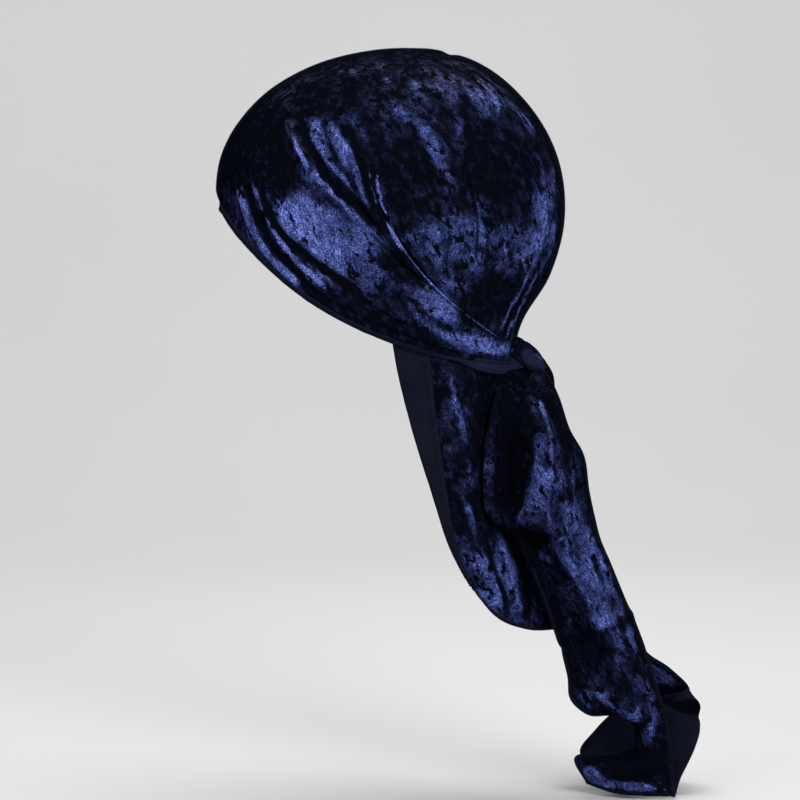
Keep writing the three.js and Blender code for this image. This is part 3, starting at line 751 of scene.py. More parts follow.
def cap_ripple(flat, fold, run, from_seam):
    """Height of the gathers that fan out of the knot, the dents of crushed pile, and the ruck
    beside the centre seam."""
    fan = cloud(np.stack((fold * 1.5 + 0 * run, 2.2 * run, 0 * run), -1), 1, FAN_SEED)
    gather = (0.5 * (1 - ease(0.05, 0.4, run)) + 0.12) * ease(0, 0.06, run)
    dents = 0.16 * cloud(flat, 9, DENT_SEED) + 0.8 * cloud(flat, 34, SWELL_SEED, 1)
    pull = 0.9 * np.exp(-(((from_seam - 9) / 6) ** 2)) - 0.8 * np.exp(-((from_seam / 3) ** 2))
    ruck = 0.35 * np.sin(fold * 9 + 2 * np.sin(fold * 3.1)) * np.exp(-((from_seam / 9) ** 2))
    soft = (gather * fan + dents) * ease(0, SEAM_CALM, from_seam)
    return soft + pull + ruck * ease(0, 2, from_seam)


def cap_grid(cloth):
    """Left half of the cap, line by line from the hem, the painted highlight and shade of its creases
    and band edge, its share of the cloth's thickness with the hem's, and how far along it runs."""
    fold = cap_lines()
    rolled = (fold > BAND_EDGE) & (fold < BAND_FOOT)
    roll = np.zeros((len(fold), 2))
    roll[rolled] = BAND_ROLL
    roll_past, roll_high = roll.T[..., None]
    start = leaves_knot(fold)[:, None] * KNOT_COVER
    share = np.sin(math.pi / 2 * np.linspace(0, 1, CAP_STEPS + 1)) ** 1.25
    run = mix(start, 1, share)
    fold, rolled = fold[:, None], rolled[:, None]
    flat = cap_point(fold, run)
    edge = cap_point(BAND_EDGE, run)
    past = square_to(edge - cap_point(BAND_EDGE - 0.4, run), unit(np.gradient(edge, axis=1)))

    fades = smooth(FOLDS["fades"], fold)
    grown = ease(0, 0.25, run)
    lift = smooth(FOLDS["lift"], fold) * grown * (1 - ease(fades - 0.35, fades, run))
    sharp, crease_shading = creased(flat, CAP_CREASES)
    lift = lift + sharp * grown * cloth.fold_depth
    band = ease(0.02, 0.12, run) * (1 - ease(0.44, 0.66, run))
    radius = cloth.band_roll / MM * band
    lift = lift + 3 * radius * ease(BAND_EDGE - 3.2, BAND_EDGE, fold) * (fold <= BAND_EDGE)
    lift = np.where(rolled, roll_high * radius, lift)
    from_seam = norm(flat - flat[:, -1:])
    ripple = cap_ripple(flat, fold, run, from_seam) * np.where(rolled, 0.15, 1)
    lift = lift * ease(0, SEAM_CALM, from_seam) + ripple * cloth.wrinkle

    grid = raised(flat, lift, pile_side(flat)) + past * (roll_past * radius)[..., None]
    keep_left(grid, cloth.thickness / MM / 2)
    # painted highlight along the band's folded edge, painted shade on its roll and on the tuck lines into
    # the knot
    crease_shading += 1.1 * (fold == BAND_EDGE) * band - 0.9 * rolled * band
    crease_shading = np.pad(crease_shading, ((0, TUCK_LINES), (0, 0)), constant_values=-0.3)
    thin = 1 - 0.85 * rolled * (1 - band)
    thin = np.pad(thin, ((HEM_LINES, TUCK_LINES), (0, 0)), constant_values=1)
    return with_tuck(grid, run[-1]), crease_shading, thin, run[0]


def with_tuck(grid, run):
    """Adds lines past the last fold, that close the cap down into the knot."""
    inside = mix(TUCK_SIDE, TUCK_MIDDLE, run[:, None])
    keep_left(inside, EDGE_HALF)
    shares = np.arange(1, TUCK_LINES + 1) / TUCK_LINES
    return np.concatenate((grid, [mix(grid[-1], inside, share) for share in shares]))


def lip_height(run):
    """How far up from the hem the wrong side is turned out, by the knot."""
    return LIP_HEIGHT * (1 - ease(0.07, 0.17, run))


def with_hem(grid, run):
    """Adds the hem: lines past the first one, that hang down by the knot."""
    edge, above = grid[0], grid[3]
    by_knot = (1 - ease(0.1, 0.2, run))[:, None]
    out_of_knot = np.minimum(1, run / 0.075)[:, None] ** 0.7
    beyond = mix(unit(edge - above), np.array((0.1, -0.3, -1)), by_knot)
    beyond = square_to(beyond, unit(np.gradient(edge, axis=0)))
    width = mix(HEM_WIDTH, HEM_WIDTH_AT_KNOT, by_knot) * out_of_knot
    shares = np.arange(HEM_LINES, 0, -1) / HEM_LINES
    hem = np.stack([edge + beyond * width * share for share in shares])
    keep_left(hem, EDGE_HALF)
    return np.concatenate((hem, grid))


def cap_lay_and_painted_light(grid, crease_shading):
    """Pile of the cap: the brushed patches and creases, with painted shade beside the centre seam."""
    from_seam = norm(grid - grid[:, -1:])
    return brushed(grid, CAP_BRUSHED) + crease_shading - 0.9 * np.exp(-((from_seam / 13) ** 2))


# ---------------------------------------------------------------- nodes

def fill(tree, made, inputs):
    """Links a node's inputs to sockets, or sets them to constants."""
    for name, value in inputs.items():
        socket = made.inputs[name]
        if isinstance(value, bpy.types.NodeSocket):
            tree.links.new(value, socket)
        else:
            socket.default_value = value
    return made


def node(tree, kind, inputs=(), **settings):
    """A new node, with its settings made and its inputs filled."""
    made = tree.nodes.new(kind)
    for name, value in settings.items():
        setattr(made, name, value)
    return fill(tree, made, dict(inputs))


def output(tree, kind, inputs=(), out=0, **settings):
    """One output of a new node."""
    return node(tree, kind, inputs, **settings).outputs[out]


def node_group(name, kind, inputs, outputs):
    """A node group with named inputs and outputs, its given sockets and its end node."""
    tree = bpy.data.node_groups.new(name, kind)
    for way, sockets in (("INPUT", inputs), ("OUTPUT", outputs)):
        for label, socket in sockets.items():
            tree.interface.new_socket(label, in_out=way, socket_type=f"NodeSocket{socket}")
    return tree, tree.nodes.new("NodeGroupInput").outputs, tree.nodes.new("NodeGroupOutput")


def maths(tree, operation, *values):
    """Output of a Math node on numbers or sockets."""
    return output(tree, "ShaderNodeMath", dict(enumerate(values)), operation=operation)


def times(tree, *values):
    return functools.reduce(lambda a, b: maths(tree, "MULTIPLY", a, b), values)


def combined(tree, x, y, z):
    return output(tree, "ShaderNodeCombineXYZ", {0: x, 1: y, 2: z})


def ranged(tree, value, low, high, to_low=0.0, to_high=1.0):
    """Smooth step of a value from one range to another."""
    inputs = {"Value": value, "From Min": low, "From Max": high, "To Min": to_low, "To Max": to_high}
    return output(tree, "ShaderNodeMapRange", inputs, interpolation_type="SMOOTHSTEP")


def blended(tree, share, first, second, clamp=True):
    """Mix of two colours. Without the clamp, a share over 1 goes past the second."""
    inputs = {0: share, 6: first, 7: second}
    return output(tree, "ShaderNodeMix", inputs, out=2, data_type="RGBA", clamp_factor=clamp)


def noise(tree, at, size, detail, roughness, distortion=0.0):
    """Noise with lumps of about size, in metres."""
    inputs = {"Vector": at, "Detail": detail, "Roughness": roughness, "Distortion": distortion}
    linked_size = isinstance(size, bpy.types.NodeSocket)
    inputs["Scale"] = maths(tree, "DIVIDE", 1.0, size) if linked_size else 1 / size
    return output(tree, "ShaderNodeTexNoise", inputs)


def object_place(tree):
    return output(tree, "ShaderNodeTexCoord", out="Object")


def lay_and_painted_light_of(tree):
    """How flat the pile lies, with painted shade and highlights carried in the same value."""
    return output(tree, "ShaderNodeAttribute", out="Fac", attribute_name="lay_and_painted_light")


def bump(tree, height, strength, distance):
    """Normal with a small relief."""
    return output(tree, "ShaderNodeBump", {"Height": height, "Strength": strength, "Distance": distance})


def rgba(colour, share=1.0):
    """A colour, dimmed by a share."""
    return *np.multiply(colour, share), 1.0


def empty_material(name):
    """A material with only a Principled shader and its output."""
    made = bpy.data.materials.new(name)
    made.use_nodes = True
    tree = made.node_tree
    tree.nodes.clear()
    shader = node(tree, "ShaderNodeBsdfPrincipled")
    node(tree, "ShaderNodeOutputMaterial", {"Surface": shader.outputs[0]})
    return made, tree, shader


# ---------------------------------------------------------------- finishes

def crushed_pile_group():
    """Colour, roughness and height of crushed pile: ragged bright islands where it lies flat, with their
    sheen painted into the colour.
    """
    tree, given, result = node_group(
        "Crushed Pile", "ShaderNodeTree",
        {"Lay And Painted Light": "Float", "Patch Size": "Float", "Fibre Size": "Float",
         "Deep": "Color", "Bright": "Color", "Pale": "Color"},
        {"Colour": "Color", "Roughness": "Float", "Height": "Float"},
    )
    lay_and_painted_light, patch = given["Lay And Painted Light"], given["Patch Size"]
    at = object_place(tree)
    drawn = {"Vector": at, "Rotation": (0, math.radians(PILE_LEAN), 0), "Scale": (1, 1, PILE_DRAWN)}
    tall = output(tree, "ShaderNodeMapping", drawn, vector_type="TEXTURE")
    broad = noise(tree, tall, times(tree, patch, 1.5), 4.0, 0.6)
    islands = noise(tree, tall, patch, 6.0, 0.62, 0.5)
    pits = noise(tree, tall, times(tree, patch, 0.36), 3.0, 0.6, 0.2)
    weave = noise(tree, tall, times(tree, patch, 0.2), 2.0, 0.6)
    fibre = noise(tree, at, given["Fibre Size"], 2.0, 0.8)

    # The more the pile is laid, the more of it is over the thresholds.
    short = maths(tree, "SUBTRACT", 0.5, lay_and_painted_light)
    laid, closed, dim = (
        ranged(tree, maths(tree, "SUBTRACT", grain, times(tree, short, share)), *limits)
        for grain, share, limits in (
            (islands, 0.42, (0.38, 0.68)), (pits, 0.1, (0.38, 0.5)), (pits, 0.12, (0.42, 0.62, 0.0, 0.2)),
        )
    )
    flat = times(tree, laid, closed)
    uneven = times(
        tree, ranged(tree, broad, 0.36, 0.68, 0.3, 1.1), ranged(tree, lay_and_painted_light, 0.1, 1.0, 0.5, 1.4),
        ranged(tree, weave, 0.3, 0.7, 0.55, 1.35),
    )
    # painted sparkle: the fibre grain lifts single fibres into painted glints
    spark = maths(tree, "POWER", times(tree, fibre, 1.95), 4.0)
    spark = maths(tree, "MINIMUM", spark, 3.2)

    # Where it stands, a dim mottle is left.
    tone = maths(tree, "MAXIMUM", times(tree, flat, uneven, spark), times(tree, dim, uneven, spark))
    tone = maths(tree, "MINIMUM", tone, 3.0)

    # Painted reflection of the light from above: pile facing up is greyer, and the brightest fibres anywhere
    # are greyer too, as painted glints.
    normal = output(tree, "ShaderNodeNewGeometry", out="Normal")
    up = ranged(tree, output(tree, "ShaderNodeSeparateXYZ", {0: normal}, out=2), 0.4, 0.85, 0.0, 0.65)
    pale = maths(tree, "ADD", up, ranged(tree, tone, 0.7, 2.4, 0.0, 0.3))
    bright = blended(tree, pale, given["Bright"], given["Pale"])
    fill(tree, result, {
        "Colour": blended(tree, tone, given["Deep"], bright, False),
        "Roughness": ranged(tree, flat, 0.0, 1.0, 0.8, 0.5),
        "Height": maths(tree, "MULTIPLY_ADD", fibre, 0.35, times(tree, flat, 0.5)),
    })
    return tree


def knit_back_group():
    """Colour and height of the matte knitted back of the velvet, along its own threads."""
    tree, given, result = node_group(
        "Knitted Back", "ShaderNodeTree", {"Wale": "Float", "Dark": "Color", "Light": "Color"},
        {"Colour": "Color", "Height": "Float"},
    )
    uv = output(tree, "ShaderNodeUVMap", uv_map="cloth")
    turn = maths(tree, "DIVIDE", 2 * math.pi, given["Wale"])
    wales, courses = (
        maths(tree, "SINE", times(tree, part, turn))
        for part in node(tree, "ShaderNodeSeparateXYZ", {0: uv}).outputs[:2]
    )
    knit = maths(tree, "MULTIPLY_ADD", times(tree, wales, courses), 0.25, 0.5)
    uneven = noise(tree, object_place(tree), 0.02, 4.0, 0.6)
    tone = maths(tree, "MULTIPLY_ADD", uneven, 0.8, times(tree, knit, 0.35))
    colour = blended(tree, ranged(tree, tone, 0.3, 0.9), given["Dark"], given["Light"])
    fill(tree, result, {"Colour": colour, "Height": knit})
    return tree


def velvet_material(tree, shader, finish):
    """The pile side, with no specular: its sheen is painted into the colour."""
    pile = node(tree, "ShaderNodeGroup", {
        "Lay And Painted Light": lay_and_painted_light_of(tree), "Patch Size": finish.patch_size, "Fibre Size": finish.fibre_size,
        "Deep": rgba(finish.deep), "Bright": rgba(finish.bright), "Pale": rgba(finish.pale),
    }, node_tree=bpy.data.node_groups.get("Crushed Pile") or crushed_pile_group()).outputs
    fill(tree, shader, {
        "Base Color": pile["Colour"], "Roughness": pile["Roughness"], "Specular IOR Level": 0.0,
        "Normal": bump(tree, pile["Height"], 0.5, 0.0006),
    })


def back_material(tree, shader, finish, share):
    """The matte wrong side, with painted shade: darker where the lay is far below zero."""
    knit = node(tree, "ShaderNodeGroup", {
        "Wale": KNIT_WALE, "Dark": rgba(finish.back_dark, share), "Light": rgba(finish.back_light, share),
    }, node_tree=bpy.data.node_groups.get("Knitted Back") or knit_back_group()).outputs
    shade = ranged(tree, lay_and_painted_light_of(tree), -1.1, -0.6, 0.25, 1.0)
    fill(tree, shader, {
        "Base Color": blended(tree, shade, (0, 0, 0, 1), knit["Colour"]), "Roughness": 0.7,
        "Specular IOR Level": 0.0, "Normal": bump(tree, knit["Height"], 0.35, 0.0002),
    })


def thread_material(tree, shader, finish, share):
    """Twisted thread."""
    twist = noise(tree, object_place(tree), 0.0005, 2.0, 0.6)
    tones = (rgba(finish.thread, share * tone) for tone in (0.5, 1))
    fill(tree, shader, {
        "Base Color": blended(tree, ranged(tree, twist, 0.3, 0.7), *tones), "Roughness": 0.85,
        "Specular IOR Level": 0.03, "Normal": bump(tree, twist, 0.4, 0.0002),
    })


MAKERS = {
    "velvet_pile": (velvet_material,),
    "velvet_back": (back_material, 1.0),
    "velvet_turned": (back_material, TURNED_TONE),
    "hem_thread": (thread_material, 1.0),
    "stitch_thread": (thread_material, STITCH_TONE),
}


def material(name):
    """A finished material of the durag, built when it is first asked for."""
    found = bpy.data.materials.get(name)
    if not found:
        found, tree, shader = empty_material(name)
        make, *share = MAKERS[name]
        make(tree, shader, bpy.context.scene.durag_finish, *share)
    return found


# ---------------------------------------------------------------- stitches and seams

def edge_turn(tree):
    """Rotation that puts Z along the path, and X as near as it can to the 'inward' attribute."""
    tangent = output(tree, "GeometryNodeInputTangent")
    named = {"Name": "inward"}
    inward = output(tree, "GeometryNodeInputNamedAttribute", named, data_type="FLOAT_VECTOR")
    along = output(tree, "FunctionNodeAlignRotationToVector", {"Vector": tangent}, axis="Z")
    aims = {"Rotation": along, "Vector": inward}
    return output(tree, "FunctionNodeAlignRotationToVector", aims, axis="X", pivot_axis="Z")


def sewing_tree(name, sizes, shape):
    """Geometry Nodes that repeat a shape at even steps along a path, as plain mesh."""
    inputs = {"Geometry": "Geometry", **dict.fromkeys(sizes, "Float"), "Material": "Material"}
    tree, given, result = node_group(name, "GeometryNodeTree", inputs, {"Geometry": "Geometry"})
    path = output(tree, "GeometryNodeMeshToCurve", {"Mesh": given["Geometry"]})
    steps = {"Curve": path, "Length": given["Spacing"]}
    even = output(tree, "GeometryNodeResampleCurve", steps, mode="LENGTH")
    copies = output(tree, "GeometryNodeInstanceOnPoints", {
        "Points": even, "Instance": shape(tree, given), "Rotation": edge_turn(tree),
    })
    real = output(tree, "GeometryNodeRealizeInstances", {"Geometry": copies})
    done = {"Geometry": real, "Material": given["Material"]}
    fill(tree, result, {0: output(tree, "GeometryNodeSetMaterial", done)})
    return tree


def overlock_loop(tree, given):
    """A loop of thread round the cloth's edge."""
    ring = output(tree, "GeometryNodeCurvePrimitiveCircle", {"Resolution": LOOP_SIDES, "Radius": 0.5})
    oval = output(tree, "GeometryNodeTransform", {
        "Geometry": ring,
        "Translation": combined(tree, times(tree, given["Reach"], LOOP_MIDDLE), 0.0, 0.0),
        "Rotation": combined(tree, 0.0, given["Slant"], 0.0),
        "Scale": combined(tree, given["Reach"], given["Thickness"], 1.0),
    })
    section = {"Resolution": THREAD_SIDES, "Radius": given["Thread"]}
    profile = output(tree, "GeometryNodeCurvePrimitiveCircle", section)
    return output(tree, "GeometryNodeCurveToMesh", {"Curve": oval, "Profile Curve": profile})


def stitch_bead(tree, given):
    """A short stitch that lies on the cloth."""
    bead = output(tree, "GeometryNodeMeshUVSphere", {"Segments": 6, "Rings": 5, "Radius": 1.0})
    half = times(tree, given["Length"], 0.5)
    size = combined(tree, given["Thread"], given["Thread"], half)
    return output(tree, "GeometryNodeTransform", {"Geometry": bead, "Scale": size})


def sewn(name, tree, values, paths, *nodes):
    """Runs a sewing tree along paths and keeps its result as a plain mesh. A path is a line of
    points in millimetres and a direction at each."""
    edges, first = [], 0
    for line, _ in paths:
        edges += [(first + k, first + k + 1) for k in range(len(line) - 1)]
        first += len(line)
    points, inward = (np.concatenate(parts) for parts in zip(*paths))
    mesh = bpy.data.meshes.new("path")
    mesh.from_pydata((points * MM).tolist(), edges, [])
    attribute = mesh.attributes.new("inward", "FLOAT_VECTOR", "POINT")
    attribute.data.foreach_set("vector", inward.astype(np.float32).ravel())
    path = linked("path", mesh)
    modifier = path.modifiers.new("sewing", "NODES")
    modifier.node_group = tree
    sockets = {item.name: item.identifier for item in tree.interface.items_tree if item.in_out == "INPUT"}
    for label, value in values.items():
        modifier[sockets[label]] = value
    bpy.context.view_layer.update()
    done = path.evaluated_get(bpy.context.evaluated_depsgraph_get())
    mesh = bpy.data.meshes.new_from_object(done)
    mesh.name = name
    mesh.shade_smooth()
    bpy.data.objects.remove(path)
    return settle(linked(name, mesh), "overlock_thread", *nodes)


def overlocked(name, paths, *nodes, reach=None, thickness=None):
    """Overlock stitches round the edge of a cloth, along paths, in the place of CAD nodes."""
    sewing = bpy.context.scene.durag_sewing
    cloth = bpy.context.scene.durag_cloth
    sizes = ("Spacing", "Reach", "Thickness", "Thread", "Slant")
    tree = bpy.data.node_groups.get("Overlock") or sewing_tree("Overlock", sizes, overlock_loop)
    return sewn(name, tree, {
        "Spacing": sewing.loop_spacing,
        "Reach": reach or sewing.loop_reach,
        "Thickness": thickness or cloth.thickness + 3 * sewing.thread,
        "Thread": sewing.thread,
        "Slant": sewing.slant,
        "Material": material("hem_thread"),
    }, paths, *nodes)


def stitched(name, paths):
    """Rows of plain stitches along paths."""
    sewing = bpy.context.scene.durag_sewing
    sizes = ("Spacing", "Length", "Thread")
    tree = bpy.data.node_groups.get("Stitch Row") or sewing_tree("Stitch Row", sizes, stitch_bead)
    return sewn(name, tree, {
        "Spacing": sewing.stitch_spacing,
        "Length": sewing.stitch_spacing * STITCH_SHARE,
        "Thread": sewing.thread,
        "Material": material("stitch_thread"),
    }, paths)


def stitch_path(grid, insets, side, keep, cloth):
    """Path over the cloth, by how far in it is from the start of each row, and the way out of it."""
    line, out = (
        np.stack([between(*row) for row in zip(part, lengths(grid, 1), insets)])
        for part in (grid, grid_normals(grid) * side)
    )
    out = unit(out)
    return (line + out * (cloth.thickness / MM / 2 + STITCH_LIFT))[keep], out[keep]


def standing_seam(name, cad_node, line, outward, wave, rise):
    """A standing seam that waves a little to either side, and its overlock thread."""
    heights = np.linspace(0, 1, 6)[None, :] * (rise + SEAM_FOOT)[:, None] - SEAM_FOOT
    grid = line[:, None] + outward[:, None] * heights[..., None]
    grid[..., 1] += wave[:, None] * ease(0, SEAM_RISE, heights)
    lay_and_painted_light = np.full(grid.shape[:2], SEAM_LAY)
    finishes = (material("velvet_pile"), material("velvet_pile"))
    edges = cloth_piece(f"{name}_edges", cad_node, grid, SEAM_THICK, lay_and_painted_light, 1, finishes)
    top = [border(grid[:, -1], grid[:, 0])]
    return edges, overlocked(f"{name}_thread", top, cad_node, **SEAM_LOOP)


# ---------------------------------------------------------------- settings

class DuragCloth(bpy.types.PropertyGroup):
    """Sizes of the cloth"""
    thickness: FloatProperty(
        name="Thickness", description="Of the velvet, pile and back together",
        default=0.0013, min=0.0005, max=0.003, precision=4, unit="LENGTH")
    band_roll: FloatProperty(
        name="Band Roll", description="Radius of the folded edge that crosses the back of the cap",
        default=0.0012, min=0, max=0.003, precision=4, unit="LENGTH")
    fold_depth: FloatProperty(
        name="Fold Depth", description="How deep the creases of the cap are", default=1.0, min=0, max=2)
    wrinkle: FloatProperty(
        name="Wrinkle", description="How strong the gathers and dents are", default=1.0, min=0, max=2)


class DuragSewing(bpy.types.PropertyGroup):
    """Sizes of the stitches"""
    thread: FloatProperty(
        name="Thread", description="Radius of the thread", default=0.00022, precision=5, unit="LENGTH")
    loop_spacing: FloatProperty(
        name="Loop Spacing", description="Between overlock stitches",
        default=0.0014, precision=4, unit="LENGTH")
    loop_reach: FloatProperty(
        name="Loop Reach", description="How far overlock stitches go in from the edge",
        default=0.0030, precision=4, unit="LENGTH")
    slant: FloatProperty(
        name="Slant", description="Turn of the overlock stitches", default=math.radians(14), subtype="ANGLE")
    stitch_spacing: FloatProperty(
        name="Stitch Spacing", description="Between the stitches of the twin seam",
        default=0.0026, precision=4, unit="LENGTH")


class DuragFinish(bpy.types.PropertyGroup):
    """Colours and grain of the velvet"""
    deep: FloatVectorProperty(
        name="Deep", description="Pile that stands up", subtype="COLOR", default=(0.0017, 0.0021, 0.0043))
    # painted sheen: the colour of laid pile as it catches the light
    bright: FloatVectorProperty(
        name="Bright", description="Pile that lies flat", subtype="COLOR", default=(0.050, 0.068, 0.235))
    # painted reflection of the light from above, on laid pile that faces up
    pale: FloatVectorProperty(
        name="Pale", description="Laid pile that faces up", subtype="COLOR", default=(0.088, 0.102, 0.166))
    back_dark: FloatVectorProperty(
        name="Back Dark", description="Darker tone of the wrong side", subtype="COLOR",
        default=(0.0042, 0.0050, 0.0104))
    back_light: FloatVectorProperty(
        name="Back Light", description="Lighter tone of the wrong side", subtype="COLOR",
        default=(0.0076, 0.0090, 0.0178))
    thread: FloatVectorProperty(
        name="Thread", description="Overlock thread", subtype="COLOR", default=(0.0150, 0.0170, 0.0330))
    patch_size: FloatProperty(
        name="Patch Size", description="Of the islands of crushed pile",
        default=0.013, precision=4, unit="LENGTH")
    # sets the painted glints of single fibres as well as their bump
    fibre_size: FloatProperty(
        name="Fibre Size", description="Of the sparkle of the pile",
        default=0.0010, precision=5, unit="LENGTH")


class DuragStage(bpy.types.PropertyGroup):
    """Floor, backdrop, lights and camera"""
    tone: FloatVectorProperty(
        name="Tone", description="Colour of the floor and backdrop", subtype="COLOR",
        default=(0.62, 0.615, 0.61))
    key: FloatProperty(name="Key", description="Power of the main light", default=26, unit="POWER")
    fill: FloatProperty(name="Fill", description="Power of the fill light", default=10, unit="POWER")
    view_width: FloatProperty(
        name="View Width", description="What the camera sees across at the durag",
        default=0.536, unit="LENGTH")
    camera_distance: FloatProperty(
        name="Camera Distance", description="From the middle of the durag", default=1.9, unit="LENGTH")


SETTINGS = {
    "durag_cloth": DuragCloth,
    "durag_sewing": DuragSewing,
    "durag_finish": DuragFinish,
    "durag_stage": DuragStage,
}


# ---------------------------------------------------------------- flap, tails and knot

def hung_folds(across, along, seed, depth):
    """Heights of soft folds that run down a hanging cloth, from distances over it."""
    fine = streaks(across, along, 6, 30, seed + 1)
    return depth * (streaks(across, along, 16, 90, seed) + 0.35 * fine)


def off_edges(across, width):
    """0 at both side edges of a cloth, 1 past a width from them."""
    return ease(0, width, across) * ease(0, width, across[:, -1:] - across)


def by_hems(grid, reach):
    """How much darker the pile is drawn by the hems along both sides and the last line of a cloth."""
    across, along = lengths(grid, 1), lengths(grid, 0)
    left, right, below = (
        np.exp(-((gap / reach) ** 2)) for gap in (across, across[:, -1:] - across, along[-1:] - along)
    )
    return np.minimum(left + right + below, 1)


def flap_grid(cloth):
    """Left half of the flap, from its front edge to the centre, the painted highlight and shade of its
    creases, and the width of its turned edge."""
    grid, down = level_grid(FLAP, *FLAP_GRID)
    across, along = lengths(grid, 1), lengths(grid, 0)
    inner = off_edges(across, 8)
    sharp, crease_shading = creased(grid, FLAP_CREASES)
    lift = sharp * inner + hung_folds(across, along, FLAP_SEED, 0.9 * cloth.wrinkle) * inner
    lift += 0.2 * cloud(grid, 8, FLAP_DENT_SEED)
    hem_ridges = ease(4.2, 3.4, across) + ease(5.2, 4.2, along[-1:] - along)
    grid = raised(grid, lift + 0.35 * hem_ridges, pile_side(grid))
    keep_left(grid, cloth.thickness / MM / 2)
    return grid, crease_shading, smooth(FLAP_TURNED, down)


def with_turned_edge(grid, widths):
    """Adds the front edge of the flap, turned outward in a narrow fold, and counts its lines."""
    normals = grid_normals(grid) * pile_side(grid)
    rise = TURNED_GAP + 0.5 * np.sin(np.linspace(math.pi, 0, STRIP_LINES))[:, None]
    turn = np.linspace(0, math.pi, BEND_LINES + 2)[1:-1, None]
    half = TURNED_GAP / 2
    lines = []
    for row, normal, run, width in zip(grid, normals, lengths(grid, 1), widths):
        places = np.linspace(1, 0.03, STRIP_LINES) * width
        strip = between(row, run, places) + unit(between(normal, run, places)) * rise
        inward = unit(row[2] - row[0])
        bend = row[0] + normal[0] * half * (1 + np.cos(turn)) - inward * half * np.sin(turn)
        lines.append(np.concatenate((strip, bend, row)))
    return np.stack(lines), STRIP_LINES + BEND_LINES


def tail_folds(grid, down, seed, depth):
    """Height of a tail's soft folds, the tight ones by the knot, and its dents."""
    across, along = lengths(grid, 1), lengths(grid, 0)
    soft = hung_folds(across, along, seed, depth) * ease(0, 2, down)[:, None]
    tight = 0.9 * streaks(across, along, 4.5, 60, seed + 2) * (1 - ease(1, 5, down))[:, None]
    return (soft + tight + 0.22 * cloud(grid, 8, seed + 3)) * off_edges(across, 7)


def near_tail(cloth):
    """Grid of the near tail, the lay of its pile with its painted shade and highlights, and the side that
    it's on.
    """
    grid, down = level_grid(NEAR_TAIL, *NEAR_GRID)
    upper = (1 - ease(11, 12.5, down))[:, None]
    sharp, crease_shading = creased(grid, NEAR_TAIL_CREASES, 0.06)
    lift = sharp * upper * cloth.fold_depth
    lift += tail_folds(grid, down, NEAR_SEED, 0.8 * cloth.wrinkle * mix(0.5, 1, upper))
    side = pile_side(grid[:TAIL_TOP])
    grid = raised(grid, lift, side)
    fold = int((down < NEAR_FOLD_LEVEL).sum())
    lay_and_painted_light = np.concatenate((
        brushed(grid[:fold], NEAR_TAIL_BRUSHED, NEAR_LAY), brushed(grid[fold:], NEAR_FOLD_BRUSHED),
    ))
    return grid, lay_and_painted_light + crease_shading * upper, side


def far_tail(cloth):
    """Grid of the far tail, the lay of its pile with its painted shade and highlights, and the side that
    it's on.
    """
    grid, down = level_grid(FAR_TAIL, *FAR_GRID)
    lift = tail_folds(grid, down, FAR_SEED, 0.9 * cloth.wrinkle)
    lift *= 1 - 0.9 * np.exp(-(((down - FAR_FOLD_LEVEL) / 1.4) ** 2))[:, None]
    side = pile_side(grid[:TAIL_TOP])
    grid = raised(grid, lift, side)
    return grid, brushed(grid, FAR_TAIL_BRUSHED), side


def knot_points(ways, cloth):
    """Places on the knot for directions from its middle, and how far each is inside the part that
    shows the wrong side."""
    bump = np.zeros(len(ways))
    pasts = []
    for x, y, z, at, depth, width, step in KNOT_WRAPS:
        past = ways @ unit(np.array((x, y, z))) - at
        pasts.append(past)
        bump += step * ease(-0.02, 0.05, past) * np.exp(-np.maximum(past, 0) / 0.5)
        bump -= depth * np.exp(-((past / width) ** 2))
    about = np.arctan2(ways[:, 2], -ways[:, 1])
    strands = 0.35 * np.sin(11 * about + 1.5 * np.sin(2.5 * ways[:, 0])) * (1 - ways[:, 0] ** 2)
    bump += (strands + 0.4 * cloud(ways, 0.4, KNOT_SEED)) * cloth.wrinkle
    bump -= 4 * ease(0, 0.25, -pasts[0])
    points = KNOT_CENTRE + ways * (KNOT_RADII + bump[:, None] - 0.6) @ knot_axes()
    ragged = 0.12 * cloud(ways, 0.12, HOOD_SEED)
    hood = np.min((pasts[0] - 0.12, pasts[1] + 0.1, 0.66 - ways[:, 2], 0.8 - ways[:, 0]), 0)
    return points, hood + ragged


# ---------------------------------------------------------------- pieces

class DURAG_OT_centre_seam(bpy.types.Operator):
    """Builds the standing seam over the head and its overlock thread"""
    bl_idname = "durag.centre_seam"
    bl_label = "Centre Seam"

    def execute(self, context):
        first, last = FOLDS["seam"][[0, -1]]
        angles = np.linspace(first + SEAM_START, last + SEAM_END, SEAM_POINTS)
        inner = seam_point(angles)
        line, outward = (
            np.insert(part, 1, 0, 1) for part in (inner, seam_point(angles, 1.0) - inner)
        )
        place = np.arange(len(line))
        nick = place - SEAM_KINK
        kink = np.exp(-(((nick - 6) / 5) ** 2)) - np.exp(-(((nick + 7) / 5) ** 2))
        wave = 0.5 * np.sin(place / 9) + 0.4 * np.sin(place / 3.7 + 1) + 1.6 * kink
        rise = SEAM_RISE * ease(-2, 9, place)
        rise += 0.5 * np.exp(-(((nick + 10) / 7) ** 2)) - 1.3 * np.exp(-((nick / 3) ** 2))
        standing_seam("centre_seam", "centre_seam", line, outward, wave, rise)
        return {"FINISHED"}


